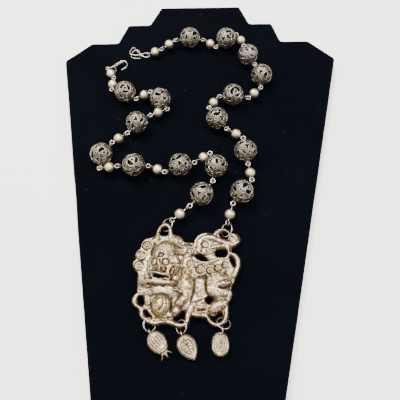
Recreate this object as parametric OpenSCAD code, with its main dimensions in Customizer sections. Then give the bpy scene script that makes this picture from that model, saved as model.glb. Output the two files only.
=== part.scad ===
// Foo dog necklace, unclasped and laid in a zigzag on its display board.
// Millimetres. The origin is the middle of the board's underside, +Z up, +Y to the board's top edge.

/* [Display board] */
// Height of the board from its foot to its top edge
board_h = 321; // [315:1:330]
// Width across the shoulders
board_w = 212; // [208:1:220]
// Width of the foot
foot_w = 99; // [90:1:110]
// Thickness of the padded board
board_t = 8; // [6:0.5:12]

/* [Beads] */
// Diameter of an openwork ball
ball_d = 15.4; // [15.2:0.1:15.5]
// Thickness of an openwork ball's wall
ball_wall = 0.9; // [0.7:0.1:1.2]
// Radius of the six windows in a ball
window_r = 2.5; // [2:0.1:2.5]
// Diameter of a small round bead
bead_d = 6.7; // [6.4:0.1:6.8]

/* [Wire] */
// Radius of the wire that is turned into pins and loops
wire_r = 0.4; // [0.35:0.05:0.4]
// Radius of a loop, to the middle of its wire
loop_r = 1.45; // [1.45:0.05:1.5]
// Radius of the wire of the jump rings
ring_wire_r = 0.42; // [0.35:0.01:0.45]
// Radius of the clasp's wire
clasp_wire_r = 0.5; // [0.4:0.05:0.55]

/* [Pendant] */
// Height of the pendant's middle plane above the board
pendant_z = 3; // [2.9:0.1:3.2]
// Half of the thickness of the pendant's plate
plate_half = 1.3; // [1:0.1:1.5]
// Radius of the round bars that edge the pendant and carry its rings
bar_r = 1.25; // [1.1:0.05:1.3]

/* [Hidden] */
// Room between a wire and what it lies in or on
fit = 0.05;
deck = board_t;
ball_r = ball_d / 2;
bead_r = bead_d / 2;
pin_r = 0.9 * wire_r;
// A pin leaves its loop this far before its bead, and a loop's centre sits this far past its joint
neck = 0.1;
tuck = 0.3;
bead_bore_r = 0.75;
ball_bore_r = 1;

// Strand rows, from the pendant to the free end: kind, heading in degrees, spare pin length,
// and how far a ball hangs to the right of its pin
KIND = 0;
HEADING = 1;
SPARE = 2;
SHIFT = 3;
BALL = 1;
BEAD = 0;
right_rows = [
    [BEAD, 75, 1, 0], [BALL, 54, 0.5, 0], [BEAD, 100, 0, 0], [BALL, 97, 0, -0.5], [BEAD, 146, 1.5, 0],
    [BALL, 125, 1.5, -1], [BEAD, 55, 0.5, 0], [BALL, 355, 0, -1], [BEAD, 45, 1, 0], [BALL, 99, 1.5, 2.5],
    [BALL, 112, 0, -1.5], [BEAD, 114, 1, 0], [BALL, 220, 0, 1], [BEAD, 141, 0.5, 0], [BALL, 180, 1, 1],
    [BEAD, 218, 1, 0], [BEAD, 205, 0, 0]
];
left_rows = [
    [BEAD, 42, 2.5, 0], [BALL, 51, 2.5, 1], [BALL, 95, 1, 3], [BEAD, 216, 0.5, 0], [BALL, 201, 0, 1],
    [BEAD, 157, 0, 0], [BALL, 180, 0, 0], [BEAD, 189, 0, 0], [BALL, 74, 0.5, -2.5], [BEAD, 38, 0.5, 0],
    [BALL, 46, 0.5, -1], [BEAD, 23, 1, 0], [BALL, 129, 0, 1], [BEAD, 214, 0, 0], [BALL, 155, 0, 1.5],
    [BEAD, 90, 0, 0], [BEAD, 121, 0, 0]
];
// Heights of the joints above the board: beside a ball, between two beads, at the free end
ball_joint_z = 6.2;
bead_joint_z = 5;
free_z = 4;

function pitch(row) =
    (row[KIND] == BALL ? ball_d : bead_d) + 2 * (loop_r + wire_r + neck) + loop_r + tuck + row[SPARE];

function joint_z(rows, i) =
    deck + (
        i == len(rows) ? free_z :
        rows[i - 1][KIND] == BEAD && rows[i][KIND] == BEAD ? bead_joint_z : ball_joint_z
    );

// A strand starts on its jump ring, and each joint lies one pitch further on along the row's heading
function joint(rows, start, i) =
    i == 0 ? start :
    let (
        from = joint(rows, start, i - 1),
        rise = joint_z(rows, i) - from.z,
        run = sqrt(pow(pitch(rows[i - 1]), 2) - rise * rise)
    )
    from + [run * cos(rows[i - 1][HEADING]), run * sin(rows[i - 1][HEADING]), rise];

// Jump rings: centre in the plan, height of the centre above the board, radius, tilt, and heading of the raised side
pendant_ring_left = [-15.8, -41.8, 3.5, 4.2, 36, 0];
pendant_ring_right = [21.7, -45.2, 3.9, 4.4, 42, -3];
charm_ring_left = [-22.6, -104, 3.3, 3.85, 39, 175];
charm_ring_middle = [-4.2, -104.8, 3.2, 3.8, 39, 11];
charm_ring_right = [19.9, -102.4, 3.2, 3.95, 32, 243];

// Where the first loop of each strand holds its jump ring
right_start = [22.3, -40.75, deck + 4.5];
left_start = [-12.96, -39.61, deck + 5.6];

// The point of a jump ring's wire at an angle round it
function ring_point(ring, a) =
    let (u = ring[3] * cos(a) * cos(ring[4]), v = ring[3] * sin(a))
    [ring[0] + u * cos(ring[5]) - v * sin(ring[5]), ring[1] + u * sin(ring[5]) + v * cos(ring[5]),
        deck + ring[2] + ring[3] * cos(a) * sin(ring[4])];

right_joints = [for (i = [0:len(right_rows)]) joint(right_rows, right_start, i)];
left_joints = [for (i = [0:len(left_rows)]) joint(left_rows, left_start, i)];

function unit(v) = v / norm(v);
function heading(a) = [cos(a), sin(a), 0];

// Centres of a pin's two loops and the ends of its straight part, between joints a and b
function near_loop(a, b) = a + tuck * unit(b - a);
function far_loop(a, b) = b - loop_r * unit(b - a);
function pin_start(a, b, turn) = near_loop(a, b) + loop_r * heading(turn);
function pin_end(a, b, turn) = far_loop(a, b) - loop_r * heading(turn);
function pin_middle(a, b, turn) = (pin_start(a, b, turn) + pin_end(a, b, turn)) / 2;

// A ball rests on the board, and hangs beside its pin's middle
function ball_centre(a, b, row) =
    let (m = pin_middle(a, b, row[HEADING]), side = heading(row[HEADING] - 90))
    [m.x + row[SHIFT] * side.x, m.y + row[SHIFT] * side.y, deck + ball_r + fit];

// A smooth curve through the points, with n steps from each to the next
function spline(p, n) = [
    for (i = [0:len(p) - 2], k = [0:n - 1])
        let (
            t = k / n, a = p[max(i - 1, 0)], b = p[i], c = p[i + 1], d = p[min(i + 2, len(p) - 1)]
        )
        (2 * b + (c - a) * t + (2 * a - 5 * b + 4 * c - d) * t * t
            + (3 * b - a - 3 * c + d) * t * t * t) / 2,
    p[len(p) - 1]
];

// The same round a closed outline
function closed_spline(p, n) =
    let (m = len(p))
    [for (i = [0:m - 1], k = [0:n - 1])
        let (
            t = k / n, a = p[(i + m - 1) % m], b = p[i], c = p[(i + 1) % m], d = p[(i + 2) % m]
        )
        (2 * b + (c - a) * t + (2 * a - 5 * b + 4 * c - d) * t * t
            + (3 * b - a - 3 * c + d) * t * t * t) / 2];

function raise(p, z) = [for (q = p) [q.x, q.y, z]];

// Points of a circle's arc in the plan
function arc(centre, r, from, to, n) = [
    for (k = [0:n]) let (a = from + (to - from) * k / n) [centre.x + r * cos(a), centre.y + r * sin(a)]
];

// A round bar of radius r along level-ish points; its ends are rounded off, or meet when it is closed
module bar(p, r, sides = 8, closed = false) {
    m = len(p);
    along = [for (i = [0:m - 1])
        unit(closed ? p[(i + 1) % m] - p[(i + m - 1) % m] : p[min(i + 1, m - 1)] - p[max(i - 1, 0)])];
    ends = closed ? [] : [
        [p[0] - 0.6 * r * along[0], along[0], 0.6 * r],
        [p[m - 1] + 0.6 * r * along[m - 1], along[m - 1], 0.6 * r]
    ];
    body = [for (i = [0:m - 1]) [p[i], along[i], r]];
    rings = closed ? body : concat([ends[0]], body, [ends[1]]);
    count = len(rings);
    points = [for (g = rings, k = [0:sides - 1])
        let (side = unit(cross(g[1], [0, 0, 1])), top = cross(side, g[1]), a = 360 * (k + 0.5) / sides)
        g[0] + g[2] * (cos(a) * side + sin(a) * top)];
    last = closed ? count - 1 : count - 2;
    walls = [for (i = [0:last], k = [0:sides - 1])
        let (j = (i + 1) % count, l = (k + 1) % sides)
        [i * sides + k, i * sides + l, j * sides + l, j * sides + k]];
    caps = closed ? [] : [
        [for (k = [sides - 1:-1:0]) k],
        [for (k = [0:sides - 1]) (count - 1) * sides + k]
    ];
    polyhedron(points = points, faces = concat(walls, caps), convexity = 6);
}

module torus(r, wire) {
    rotate(90) rotate_extrude($fn = 48) translate([r, 0]) rotate(90) circle(r = wire, $fn = 20);
}

// A straight rod between two points
module rod(a, b, r) {
    v = b - a;
    translate(a) rotate([0, acos(v.z / norm(v)), atan2(v.y, v.x)]) cylinder(r = r, h = norm(v), $fn = 24);
}

// Display board: stepped shoulders over sides that narrow to the foot
shoulder_half = board_w / 2;
foot_half = foot_w / 2;
board_corners = [
    [foot_half, -board_h / 2], [shoulder_half, 102], [86.5, 120.5], [65.5, 120.5], [59, 140.5], [41, 140.5],
    [33, board_h / 2]
];
corner_r = 2.5;
corner_steps = 5;
// The padding draws in towards the face: height of each layer's top and its inset
pad_layers = [[board_t - 2, 0], [board_t - 0.7, 0.5], [board_t, 1.4]];

function mirrored(p) = concat(p, [for (i = [len(p) - 1:-1:0]) [-p[i].x, p[i].y]]);

// A corner drawn in by the inset, at the crossing of its two shifted edges
function inset_corner(a, b, c, inset) =
    let (
        u = unit(b - a), v = unit(c - b), inward = [-u.y - v.y, u.x + v.x],
        half = 1 + u.x * v.x + u.y * v.y
    )
    b + inset * inward / half;

function inset_outline(p, inset) =
    let (m = len(p))
    [for (i = [0:m - 1]) inset_corner(p[(i + m - 1) % m], p[i], p[(i + 1) % m], inset)];

// Each corner is replaced by a quadratic curve that starts and ends the same way out along its edges
function rounded_outline(p, r) =
    let (m = len(p))
    [for (i = [0:m - 1], k = [0:corner_steps])
        let (
            t = k / corner_steps, b = p[i],
            a = b + r * unit(p[(i + m - 1) % m] - b), c = b + r * unit(p[(i + 1) % m] - b)
        )
        (1 - t) * (1 - t) * a + 2 * t * (1 - t) * b + t * t * c];

module display_board() {
    outline = mirrored(board_corners);
    color("#15161a")
    for (layer = pad_layers)
        linear_extrude(layer[0]) polygon(rounded_outline(inset_outline(outline, layer[1]), corner_r));
}

// Hollow ball with windows along X, Y and Z; its bare corner in between looks along the diagonal
module windowed_ball() {
    difference() {
        rotate(135) sphere(r = ball_r, $fn = 48);
        rotate(135) sphere(r = ball_r - ball_wall, $fn = 48);
        for (turn = [[0, 0, 0], [90, 0, 0], [0, 90, 0]])
            rotate(turn) translate([0, 0, -ball_d]) cylinder(r = window_r, h = 2 * ball_d, $fn = 40);
    }
}

// Openwork ball: its diagonal lies along the pin, and it is drilled for the pin where that passes
module openwork_ball(a, b, row) {
    middle = pin_middle(a, b, row[HEADING]);
    reach = (ball_r + 1) * unit(b - a);
    color("#a09488")
    difference() {
        translate(ball_centre(a, b, row)) rotate([0, 0, row[HEADING]]) rotate([0, atan(1 / sqrt(2)), 0])
            rotate([0, 0, -45]) windowed_ball();
        rod(middle - reach, middle + reach, ball_bore_r);
    }
}

// Small round bead, drilled for its pin
module round_bead(a, b, row) {
    middle = pin_middle(a, b, row[HEADING]);
    v = pin_end(a, b, row[HEADING]) - pin_start(a, b, row[HEADING]);
    color("#d8d0c4")
    translate(middle) rotate([0, acos(v.z / norm(v)), row[HEADING]]) difference() {
        sphere(r = bead_r, $fn = 40);
        translate([0, 0, -bead_d]) cylinder(r = bead_bore_r, h = 2 * bead_d, $fn = 24);
    }
}

// One strand's pins: each is a straight wire with a level loop at its start and an upright one at its end.
// The first loop leans, so that the jump ring passes square through it
first_lean = 45;

module strand_pins(rows, joints) {
    color("#c9c6c2")
    for (i = [0:len(rows) - 1]) {
        a = joints[i];
        b = joints[i + 1];
        turn = rows[i][HEADING];
        bite = 0.2 * heading(turn);
        union() {
            translate(near_loop(a, b)) rotate([i == 0 ? first_lean : 0, 0, turn]) torus(loop_r, wire_r);
            translate(far_loop(a, b)) rotate([90, 0, turn]) torus(loop_r, wire_r);
            rod(pin_start(a, b, turn) - bite, pin_end(a, b, turn) + bite, pin_r);
        }
    }
}

// Jump ring of round wire
module jump_ring(ring) {
    color("#c4c1bd")
    translate([ring[0], ring[1], deck + ring[2]]) rotate([0, -ring[4], ring[5]]) torus(ring[3], ring_wire_r);
}

// Clasp hook: a doubled shank that bends round to its tip, with a short tail and a ring for the strand
hook_z = deck + 3.4;
hook_ring = left_joints[len(left_joints) - 1] + tuck * heading(45);
hook_shank = [[hook_ring.x + 1, hook_ring.y + 1], [-65.2, 91.4], [-63, 94], [-60.5, 95.9], [-58.2, 97.2]];
hook_bend = [[-58.2, 97.2], [-56, 96], [-54.6, 93.4], [-55.1, 90.9], [-56.8, 89.2], [-58.4, 87.9]];
hook_tail = [[-64.6, 91.8], [-63.4, 89.6], [-62.6, 86.6]];
shank_gap = 0.9;

module clasp_hook() {
    lower = [0.45, -0.65, 0] * shank_gap;
    color("#cfccc6") {
        bar([for (p = arc(hook_ring, loop_r, 0, 330, 11)) [p.x, p.y, hook_ring.z]], wire_r, 6, closed = true);
        bar(spline(raise(hook_shank, hook_z), 2), clasp_wire_r, 8);
        translate(lower) bar(spline(raise([for (i = [1:4]) hook_shank[i]], hook_z), 2), clasp_wire_r, 8);
        bar(spline(raise(hook_bend, hook_z), 3), clasp_wire_r, 8);
        bar(spline(raise(hook_tail, hook_z), 3), 0.8 * clasp_wire_r, 8);
    }
}

// Clasp eye: a doubled triangular loop of wire, drawn to a crossing and an oval loop for the strand
eye_z = deck + free_z;
eye_low_z = deck + 0.7;
eye_oval = [[-37.7, 101.9], [-38.4, 103.5], [-40.6, 104.3], [-43, 103.6], [-44.6, 102.4], [-43, 101],
    [-40.6, 100], [-38.4, 100.4]];
eye_triangle = [[-44.6, 102.6], [-46.6, 104.9], [-48.9, 107.8], [-51.1, 110.3], [-52.7, 107.8], [-53.4, 105.2],
    [-52.4, 103.1], [-49.5, 102.3], [-46.8, 102.4]];
eye_low = [[-44.8, 102.4], [-45.6, 106], [-46.7, 109.2], [-49, 111], [-51.4, 109.6], [-53, 106.4],
    [-52.8, 104], [-50.8, 102.4], [-48, 101.9]];
eye_post = [-44.9, 102.4];

module clasp_eye() {
    color("#cfccc6") {
        bar(closed_spline(raise(eye_oval, eye_z), 2), clasp_wire_r, 8, closed = true);
        bar(closed_spline(raise(eye_triangle, eye_z), 2), clasp_wire_r, 8, closed = true);
        bar(closed_spline(raise(eye_low, eye_low_z), 2), clasp_wire_r, 8, closed = true);
        translate([eye_post.x, eye_post.y, eye_low_z]) cylinder(r = clasp_wire_r, h = eye_z - eye_low_z, $fn = 8);
    }
}

// Pendant outline without its round bars, clockwise from the left arch's foot
plate_outline = [
    [-22.6, -49.2], [-20, -49.3], [-17, -49.6], [-12, -48.6], [-9, -49], [-6, -50], [-5, -52], [-4.5, -54],
    [-1, -53.6], [1.4, -53.5], [2.5, -50], [5, -47.4], [9, -46.6], [12, -47.2], [14, -48.4], [16.5, -50],
    [20.5, -52.2], [22.9, -50.6], [25.2, -48.2], [27, -47.7], [29.3, -48.8], [30.5, -51], [30, -53.8],
    [27.5, -56.5], [24.9, -58], [24.6, -60], [24, -62.4], [23.2, -65], [24.5, -69], [26, -72], [27.4, -74],
    [26, -77.5], [24.3, -80.6], [24.4, -82.5], [25.2, -86], [23.8, -89.5], [22.8, -92], [20.5, -95],
    [18, -97.5], [15, -97.9], [12, -97.5], [10, -97.6], [9, -99.8], [5, -99.9], [1, -99.6], [0.2, -95],
    [-1.5, -93.8], [-4.5, -96.4], [-7.5, -98.8], [-9, -100.8], [-11, -101.6], [-15, -101.9],
    [-19.5, -100.8], [-22.5, -98.4], [-25, -96.4], [-26.2, -95], [-26.6, -92], [-27, -89.5], [-28.5, -87],
    [-31, -85.5], [-31.8, -80], [-32, -74], [-33.2, -72.2], [-35, -69.7], [-35, -67], [-33.6, -64.6],
    [-34.2, -62], [-33.4, -59.2], [-30.9, -57.6], [-31, -55.5], [-30, -52.6], [-26.5, -50.8]
];
// The plate swells towards its middle: half thickness added, and inset from the outline
plate_layers = [[0, 0], [0.7, 0.9], [1.2, 2]];

// Holes through the plate: centre, half width, half height, turn
plate_holes = [
    [6.3, -63.4, 3.6, 1.5, -22],
    [18, -60.4, 3, 2.3, 0],
    [11.6, -89, 2.6, 2.1, -5]
];

// Round bars along the edges: the two top arches, the tail's rim, and the arches of the lower edge
left_arch = concat([[-21.2, -50], [-21, -47.6]], arc([-17.1, -46.3], 3.9, 180, 0, 8), [[-13.2, -47.6], [-13, -50]]);
right_arch = [[13.6, -49.4], [15.2, -47.4], [17.4, -45.9], [19.8, -45.6], [22, -46.8], [23.3, -49.4], [22.6, -52]];
side_arch = [[23.4, -61.2], [25.6, -61], [27.8, -62.6], [29, -65.4], [29, -68.6], [28, -71.4], [26.2, -74]];
left_loop = [[-30.4, -86.2], [-32.4, -88.4], [-33, -91], [-31.6, -93.6], [-28.6, -95], [-25.8, -94.8]];
lower_left_arch = [[-27.4, -95.6], [-28.8, -98.2], [-27.6, -100.8], [-25, -102.6], [-22, -103.6], [-18.8, -103.6],
    [-16.6, -102.8], [-14, -102.4]];
lower_bar = [[-16, -102.2], [-12.4, -102.2], [-8.8, -103.4], [-5.4, -104.4], [-2.4, -104.2], [-1, -102]];
upright_bar = [[2.2, -91], [0.2, -94.4], [-0.6, -97.6], [-0.9, -101], [-1.4, -103.4]];
lower_right_arch = [[8.6, -97.6], [10, -100.6], [12.6, -103], [16, -104.2], [19.4, -103.4], [21.6, -100.6],
    [22.2, -97], [22.2, -93]];
// Points and radius of each bar at the pendant's edge
edge_bars = [
    [left_arch, bar_r], [right_arch, bar_r], [side_arch, 1.1 * bar_r], [left_loop, 1.1 * bar_r],
    [lower_left_arch, bar_r], [lower_bar, bar_r], [upright_bar, 1.3 * bar_r], [lower_right_arch, bar_r]
];

// Raised bars on the face: points, radius, height of the bar's middle over the pendant's middle plane
face_bars = [
    [[[1.8, -55], [2.2, -51.4], [5, -48.4], [9, -47.6], [12.4, -48.4]], 0.9, 1.2],
    [[[5, -56.4], [5, -52.4], [8, -49.8], [12, -49.8], [17, -51.6], [22, -53.8], [26.4, -54.4], [29, -52.4]], 1.5, 1.6],
    [[[11, -56.8], [16, -55.8], [20.4, -55.4], [22.6, -57.4], [22.6, -61.6], [20, -63.6], [16, -64], [12.6, -65.6],
        [9, -66.4], [4.6, -65.6]], 0.8, 1.4],
    [[[9, -61.8], [12.4, -60.6], [15, -59]], 1.1, 1.2],
    [[[-24, -74.4], [-20, -73.6], [-15, -74.6], [-11.4, -77]], 0.8, 4],
    [[[-23.4, -78], [-19, -78.6], [-14, -78.6], [-11, -79.4]], 0.9, 3.6],
    [[[-28.4, -81.6], [-25.6, -80.8], [-22, -80.2], [-16, -80.4], [-12, -82.4], [-8.6, -83.4], [-6.4, -82.6]], 0.7, 3.4],
    [[[-12.6, -75], [-11.4, -72], [-9.6, -69.6], [-9, -71.6], [-10.4, -74.4], [-11.6, -76]], 0.6, 4.2],
    [[[-29.6, -73.6], [-30, -78], [-29.8, -83.4]], 1.5, 1.2],
    [[[2.2, -76], [2.2, -81], [1.4, -86.6]], 0.6, 2.9],
    [[[9.6, -76], [9.4, -81], [10.6, -85.4]], 0.6, 2.9],
    [[[12, -77.4], [17, -76], [23, -76.6]], 0.8, 3.6],
    [[[12, -80], [17, -79.2], [23, -79.6]], 0.8, 3.4],
    [[[17, -81.2], [21, -81.6], [24, -80.6]], 0.7, 2.8],
    [[[23, -89], [18.6, -91.6], [14, -93.6]], 2, 1.4],
    [[[0.4, -85], [-2.6, -89.4], [-6, -92.6]], 2.4, 1.8],
    [[[3, -91], [6.4, -91.6], [9.6, -93.2]], 1.4, 1.6],
    [[[2, -97.8], [5.6, -98], [9, -98]], 1.6, 0.8]
];

// Curls: centre, outer radius, turn of its outer end, 1 for anticlockwise or -1, height over the middle plane
curls = [
    [-27.6, -55, 3, 200, -1, 2.2], [-30.6, -61.6, 3, 160, -1, 2.2], [-31.6, -68.4, 3, 120, -1, 2.2],
    [-22.2, -51.6, 1.8, 90, -1, 2.4], [-6.8, -52.2, 1.9, 150, 1, 2.2], [-0.8, -58.8, 2.2, 60, 1, 2.8],
    [0, -67.2, 2.4, 100, 1, 3], [-2.8, -72.2, 2.7, 120, 1, 3.2], [6, -70.8, 2.4, 150, 1, 3],
    [12, -71.4, 2.2, 120, 1, 3], [16.8, -69.4, 2.1, 120, 1, 2.8], [21.2, -67.8, 1.7, 120, 1, 2.4],
    [8.8, -54.8, 2.2, 80, 1, 2], [26.1, -50.8, 1.6, 200, -1, 2], [-18.6, -62, 1.6, 30, 1, 5.2],
    [-14.2, -61.6, 1.5, 120, -1, 5.2], [-9.4, -62.2, 1.8, 60, 1, 3.8]
];
curl_turns = 1.25;
curl_steps = 7;

// Domes: centre, half width, half height, height over the middle plane
domes = [
    [-16, -65, 9.6, 14.6, 5.2], [-15.6, -56.4, 5.6, 3.8, 6], [-20.4, -69.6, 2, 3.4, 6.8],
    [-22.6, -71.2, 1.3, 1.2, 6], [-17.4, -71.3, 1.4, 1.3, 6], [-22.8, -65.4, 1.3, 1.9, 5.4],
    [-15.3, -66.6, 1.9, 1.9, 6], [-10, -79.2, 1.9, 1.9, 4.4], [-26.6, -79.6, 2.3, 1.8, 3.6],
    [-3, -80, 4.6, 6.4, 4.4], [5.8, -80.2, 3, 6, 3.4], [17, -77, 7.6, 6, 4.6], [16, -84.4, 7, 3.4, 3.8],
    [-8.4, -94.6, 3, 4, 4.6], [-17.4, -92.8, 6, 7, 5], [-24.8, -89, 2, 4.4, 3], [-2.4, -62.6, 4.4, 5.8, 3.2],
    [27, -51.6, 3.2, 3, 2.4], [-28.6, -55, 3, 3, 1.9]
];

// Short folds and toes: start, end, radius, height over the middle plane
folds = [
    [[11.4, -95], [13.4, -96.6], 1, 2.4], [[14.4, -94.6], [16, -96.6], 1, 2.4], [[17.4, -93.6], [18.6, -95.6], 1, 2.2],
    [[-11.6, -97.6], [-12.4, -99.6], 1, 2.6], [[-9, -98.4], [-9.4, -100], 1, 2.6], [[-14.8, -99], [-15.4, -100.4], 1, 2.4],
    [[-20, -91.6], [-17.6, -93.4], 0.6, 4.6], [[-19, -94.8], [-16.6, -93.6], 0.6, 4.4],
    [[-26.6, -86], [-24.4, -85], 1.2, 2], [[24.2, -84.6], [24, -87], 1.1, 1], [[-6, -57.6], [-1.6, -56.4], 0.9, 2.8],
    [[-7, -60.4], [-3, -59.4], 0.9, 3], [[-19, -84], [-18.6, -86], 0.9, 2.8], [[-14.6, -84], [-14.2, -86.2], 0.9, 2.8],
    [[-10.4, -84.6], [-9.6, -87], 0.9, 2.6]
];

mouth = [-19, -76, 3.3, 0.8];
mouth_floor = 0.5;

function curl_points(c) = [
    for (k = [0:curl_steps])
        let (t = k / curl_steps, r = c[2] * (1 - 0.72 * t), a = c[3] + c[4] * 360 * curl_turns * t)
        [c[0] + r * cos(a), c[1] + r * sin(a), c[5] - 0.3 + 0.3 * t]
];

module dome(d) {
    translate([d[0], d[1], 0]) scale([d[2], d[3], d[4]]) intersection() {
        sphere(r = 1, $fn = 12);
        translate([-1, -1, 0]) cube([2, 2, 1]);
    }
}

module foo_dog_pendant() {
    color("#c8bcab") translate([0, 0, deck + pendant_z]) difference() {
        union() {
            for (layer = plate_layers) {
                half = plate_half + layer[0];
                translate([0, 0, -half]) linear_extrude(2 * half) offset(delta = -layer[1]) polygon(plate_outline);
            }
            for (b = edge_bars) bar(spline(raise(b[0], 0), 2), b[1]);
            for (b = face_bars) bar(spline(raise(b[0], b[2]), 2), b[1], 6);
            for (c = curls) bar(curl_points(c), 0.28 * c[2] + 0.1, 5);
            for (d = domes) dome(d);
            for (f = folds) hull() {
                translate([f[0].x, f[0].y, f[3] - f[2] / 2]) sphere(r = f[2], $fn = 6);
                translate([f[1].x, f[1].y, f[3] - f[2] / 2]) sphere(r = f[2], $fn = 6);
                translate([f[0].x, f[0].y, 0]) sphere(r = f[2], $fn = 6);
            }
        }
        for (h = plate_holes)
            translate([h[0], h[1], -10]) rotate(h[4]) scale([h[2], h[3], 1]) cylinder(r = 1, h = 30, $fn = 16);
        translate([mouth[0], mouth[1], mouth_floor]) scale([mouth[2], mouth[3], 1]) cylinder(r = 1, h = 10, $fn = 16);
    }
}

// Charms lie on the board below their rings: each has a soldered upright loop that its ring passes through
charm_half_t = 2.6;
charm_z = deck + charm_half_t + fit;
charm_line_r = 0.35;
// A charm's loop: radius of its wire, heading of its plane, and half length and half height of its oval
charm_loop_wire = 0.38;
charm_loop_turn = -74;
single_loop = [1.45, 1.45];
long_loop = [2.2, 2.05];

// An oval upright loop in the plane of a charm's axis
module charm_loop(at, turn, half) {
    oval = [for (k = [0:15]) let (a = 360 * k / 16) [half.x * cos(a), half.y * sin(a), 0]];
    translate(at) rotate([90, 0, turn]) bar(oval, charm_loop_wire, 6, closed = true);
}

// A raised line on a charm's face, between two points of its own plan
module charm_line(a, b) {
    hull() {
        translate(a) sphere(r = charm_line_r, $fn = 6);
        translate(b) sphere(r = charm_line_r, $fn = 6);
    }
}

// Height of a domed face over its middle plane, at a share of the way out from its centre
function swell(out) = charm_half_t * sqrt(max(0, 1 - out * out));

// Share of a charm's length from its top to its widest place
belly = 0.42;

// Pomegranate: a tapering fruit with a crown of pointed sepals and lines chased across it
pome_top = [-21.6, -108.8];
pome_tip = [-12.2, -120.2];
pome_half_w = 5.2;
// The angle round its ring where each charm hangs
pome_hang = 102;
sepal_length = 2.2;
sepal_spread = 2.1;
line_pitch = 1.9;

module charm_pomegranate() {
    turn = atan2(pome_tip.y - pome_top.y, pome_tip.x - pome_top.x);
    length = norm(pome_tip - pome_top);
    half = belly * length;
    color("#cabfb0") {
        translate([pome_top.x, pome_top.y, charm_z]) rotate([0, 0, turn]) {
            hull() {
                translate([half, 0, 0]) scale([half, pome_half_w, charm_half_t]) sphere(r = 1, $fn = 16);
                translate([0.86 * length, 0, 0]) scale([1.6, 2.2, 1.6]) sphere(r = 1, $fn = 10);
            }
            for (k = [-1:1]) hull() {
                translate([0.88 * length, 1.2 * k, 0]) scale([1, 1, 0.9]) sphere(r = 1, $fn = 8);
                translate([length + sepal_length, sepal_spread * k, 0]) sphere(r = 0.4, $fn = 6);
            }
            for (k = [-2:2])
                charm_line([half + line_pitch * k - 1.2, -2, swell(0.45 + 0.1 * abs(k))],
                    [half + line_pitch * k + 0.8, 2.4, swell(0.5 + 0.1 * abs(k))]);
        }
        charm_loop(ring_point(charm_ring_left, pome_hang), charm_loop_turn, single_loop);
    }
}

// Peach: round above, drawn to a point below, with a leaf chased on it
peach_top = [-3.7, -109.6];
peach_tip = [4.6, -122.6];
peach_half_w = 5.6;
peach_hang = -101;

module charm_peach() {
    turn = atan2(peach_tip.y - peach_top.y, peach_tip.x - peach_top.x);
    length = norm(peach_tip - peach_top);
    half = belly * length;
    color("#cabfb0") {
        translate([peach_top.x, peach_top.y, charm_z]) rotate([0, 0, turn]) {
            hull() {
                translate([half, 0, 0]) scale([half, peach_half_w, charm_half_t]) sphere(r = 1, $fn = 16);
                translate([length - 0.8, 0, 0]) scale([0.8, 0.8, 0.7]) sphere(r = 1, $fn = 8);
            }
            charm_line([2.4, 0.4, swell(0.6)], [length - 3, 0.2, swell(0.72)]);
            for (k = [0:2], side = [-1, 1])
                charm_line([3.6 + 2.4 * k, 0.3, swell(0.35)], [5.6 + 2.2 * k, (3.4 - 0.6 * k) * side, swell(0.68 + 0.08 * k)]);
        }
        charm_loop(ring_point(charm_ring_middle, peach_hang), charm_loop_turn, single_loop);
    }
}

// Melon: an oval fruit with a raised band round its upper third and ribs below it
melon_top = [18.4, -107.5];
melon_tip = [18, -120.2];
melon_half_w = 5.2;
melon_hang = 15;
// The middle of the melon's loop stands this far from its ring's wire, towards the fruit and down
melon_loop_drop = [0, -1.1, -0.05];

module charm_melon() {
    half = norm(melon_tip - melon_top) / 2;
    middle = (melon_top + melon_tip) / 2;
    color("#cabfb0") {
        translate([middle.x, middle.y, charm_z]) {
            hull() {
                translate([0, 1, 0]) scale([melon_half_w, half - 1, charm_half_t]) sphere(r = 1, $fn = 16);
                translate([0, -1.4, 0]) scale([0.92 * melon_half_w, half - 1.4, charm_half_t]) sphere(r = 1, $fn = 16);
            }
            for (k = [-2:1])
                charm_line([2 * k, 3.4 - 0.4 * abs(k), swell(0.55 + 0.12 * abs(k))],
                    [2 * (k + 1), 3.4 - 0.4 * abs(k + 1), swell(0.55 + 0.12 * abs(k + 1))]);
            for (k = [-1:1]) charm_line([1.7 * k, 1.6, swell(0.3 + 0.2 * abs(k))], [1.3 * k, -4.4, swell(0.8)]);
        }
        charm_loop(ring_point(charm_ring_right, melon_hang) + melon_loop_drop, 90, long_loop);
    }
}

function of_kind(rows, kind) = [for (i = [0:len(rows) - 1]) if (rows[i][KIND] == kind) i];
right_balls = of_kind(right_rows, BALL);
left_balls = of_kind(left_rows, BALL);
right_beads = of_kind(right_rows, BEAD);
left_beads = of_kind(left_rows, BEAD);

function numbered(name, places) = [for (k = [1:len(places)]) str(name, k)];

display_board();
foo_dog_pendant();
jump_ring(pendant_ring_left);
jump_ring(pendant_ring_right);
jump_ring(charm_ring_left);
jump_ring(charm_ring_middle);
jump_ring(charm_ring_right);
charm_pomegranate();
charm_peach();
charm_melon();
clasp_hook();
clasp_eye();
strand_pins(right_rows, right_joints);  // strand_pins_right
strand_pins(left_rows, left_joints);  // strand_pins_left
for (k = [1:len(right_balls)]) {
    i = right_balls[k - 1];
    openwork_ball(right_joints[i], right_joints[i + 1], right_rows[i]);
}
for (k = [1:len(left_balls)]) {
    i = left_balls[k - 1];
    openwork_ball(left_joints[i], left_joints[i + 1], left_rows[i]);
}
for (k = [1:len(right_beads)]) {
    i = right_beads[k - 1];
    round_bead(right_joints[i], right_joints[i + 1], right_rows[i]);
}
for (k = [1:len(left_beads)]) {
    i = left_beads[k - 1];
    round_bead(left_joints[i], left_joints[i + 1], left_rows[i]);
}
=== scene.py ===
"""Finish of the foo dog necklace and its velvet display board, modelled around the packed part."""

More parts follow.
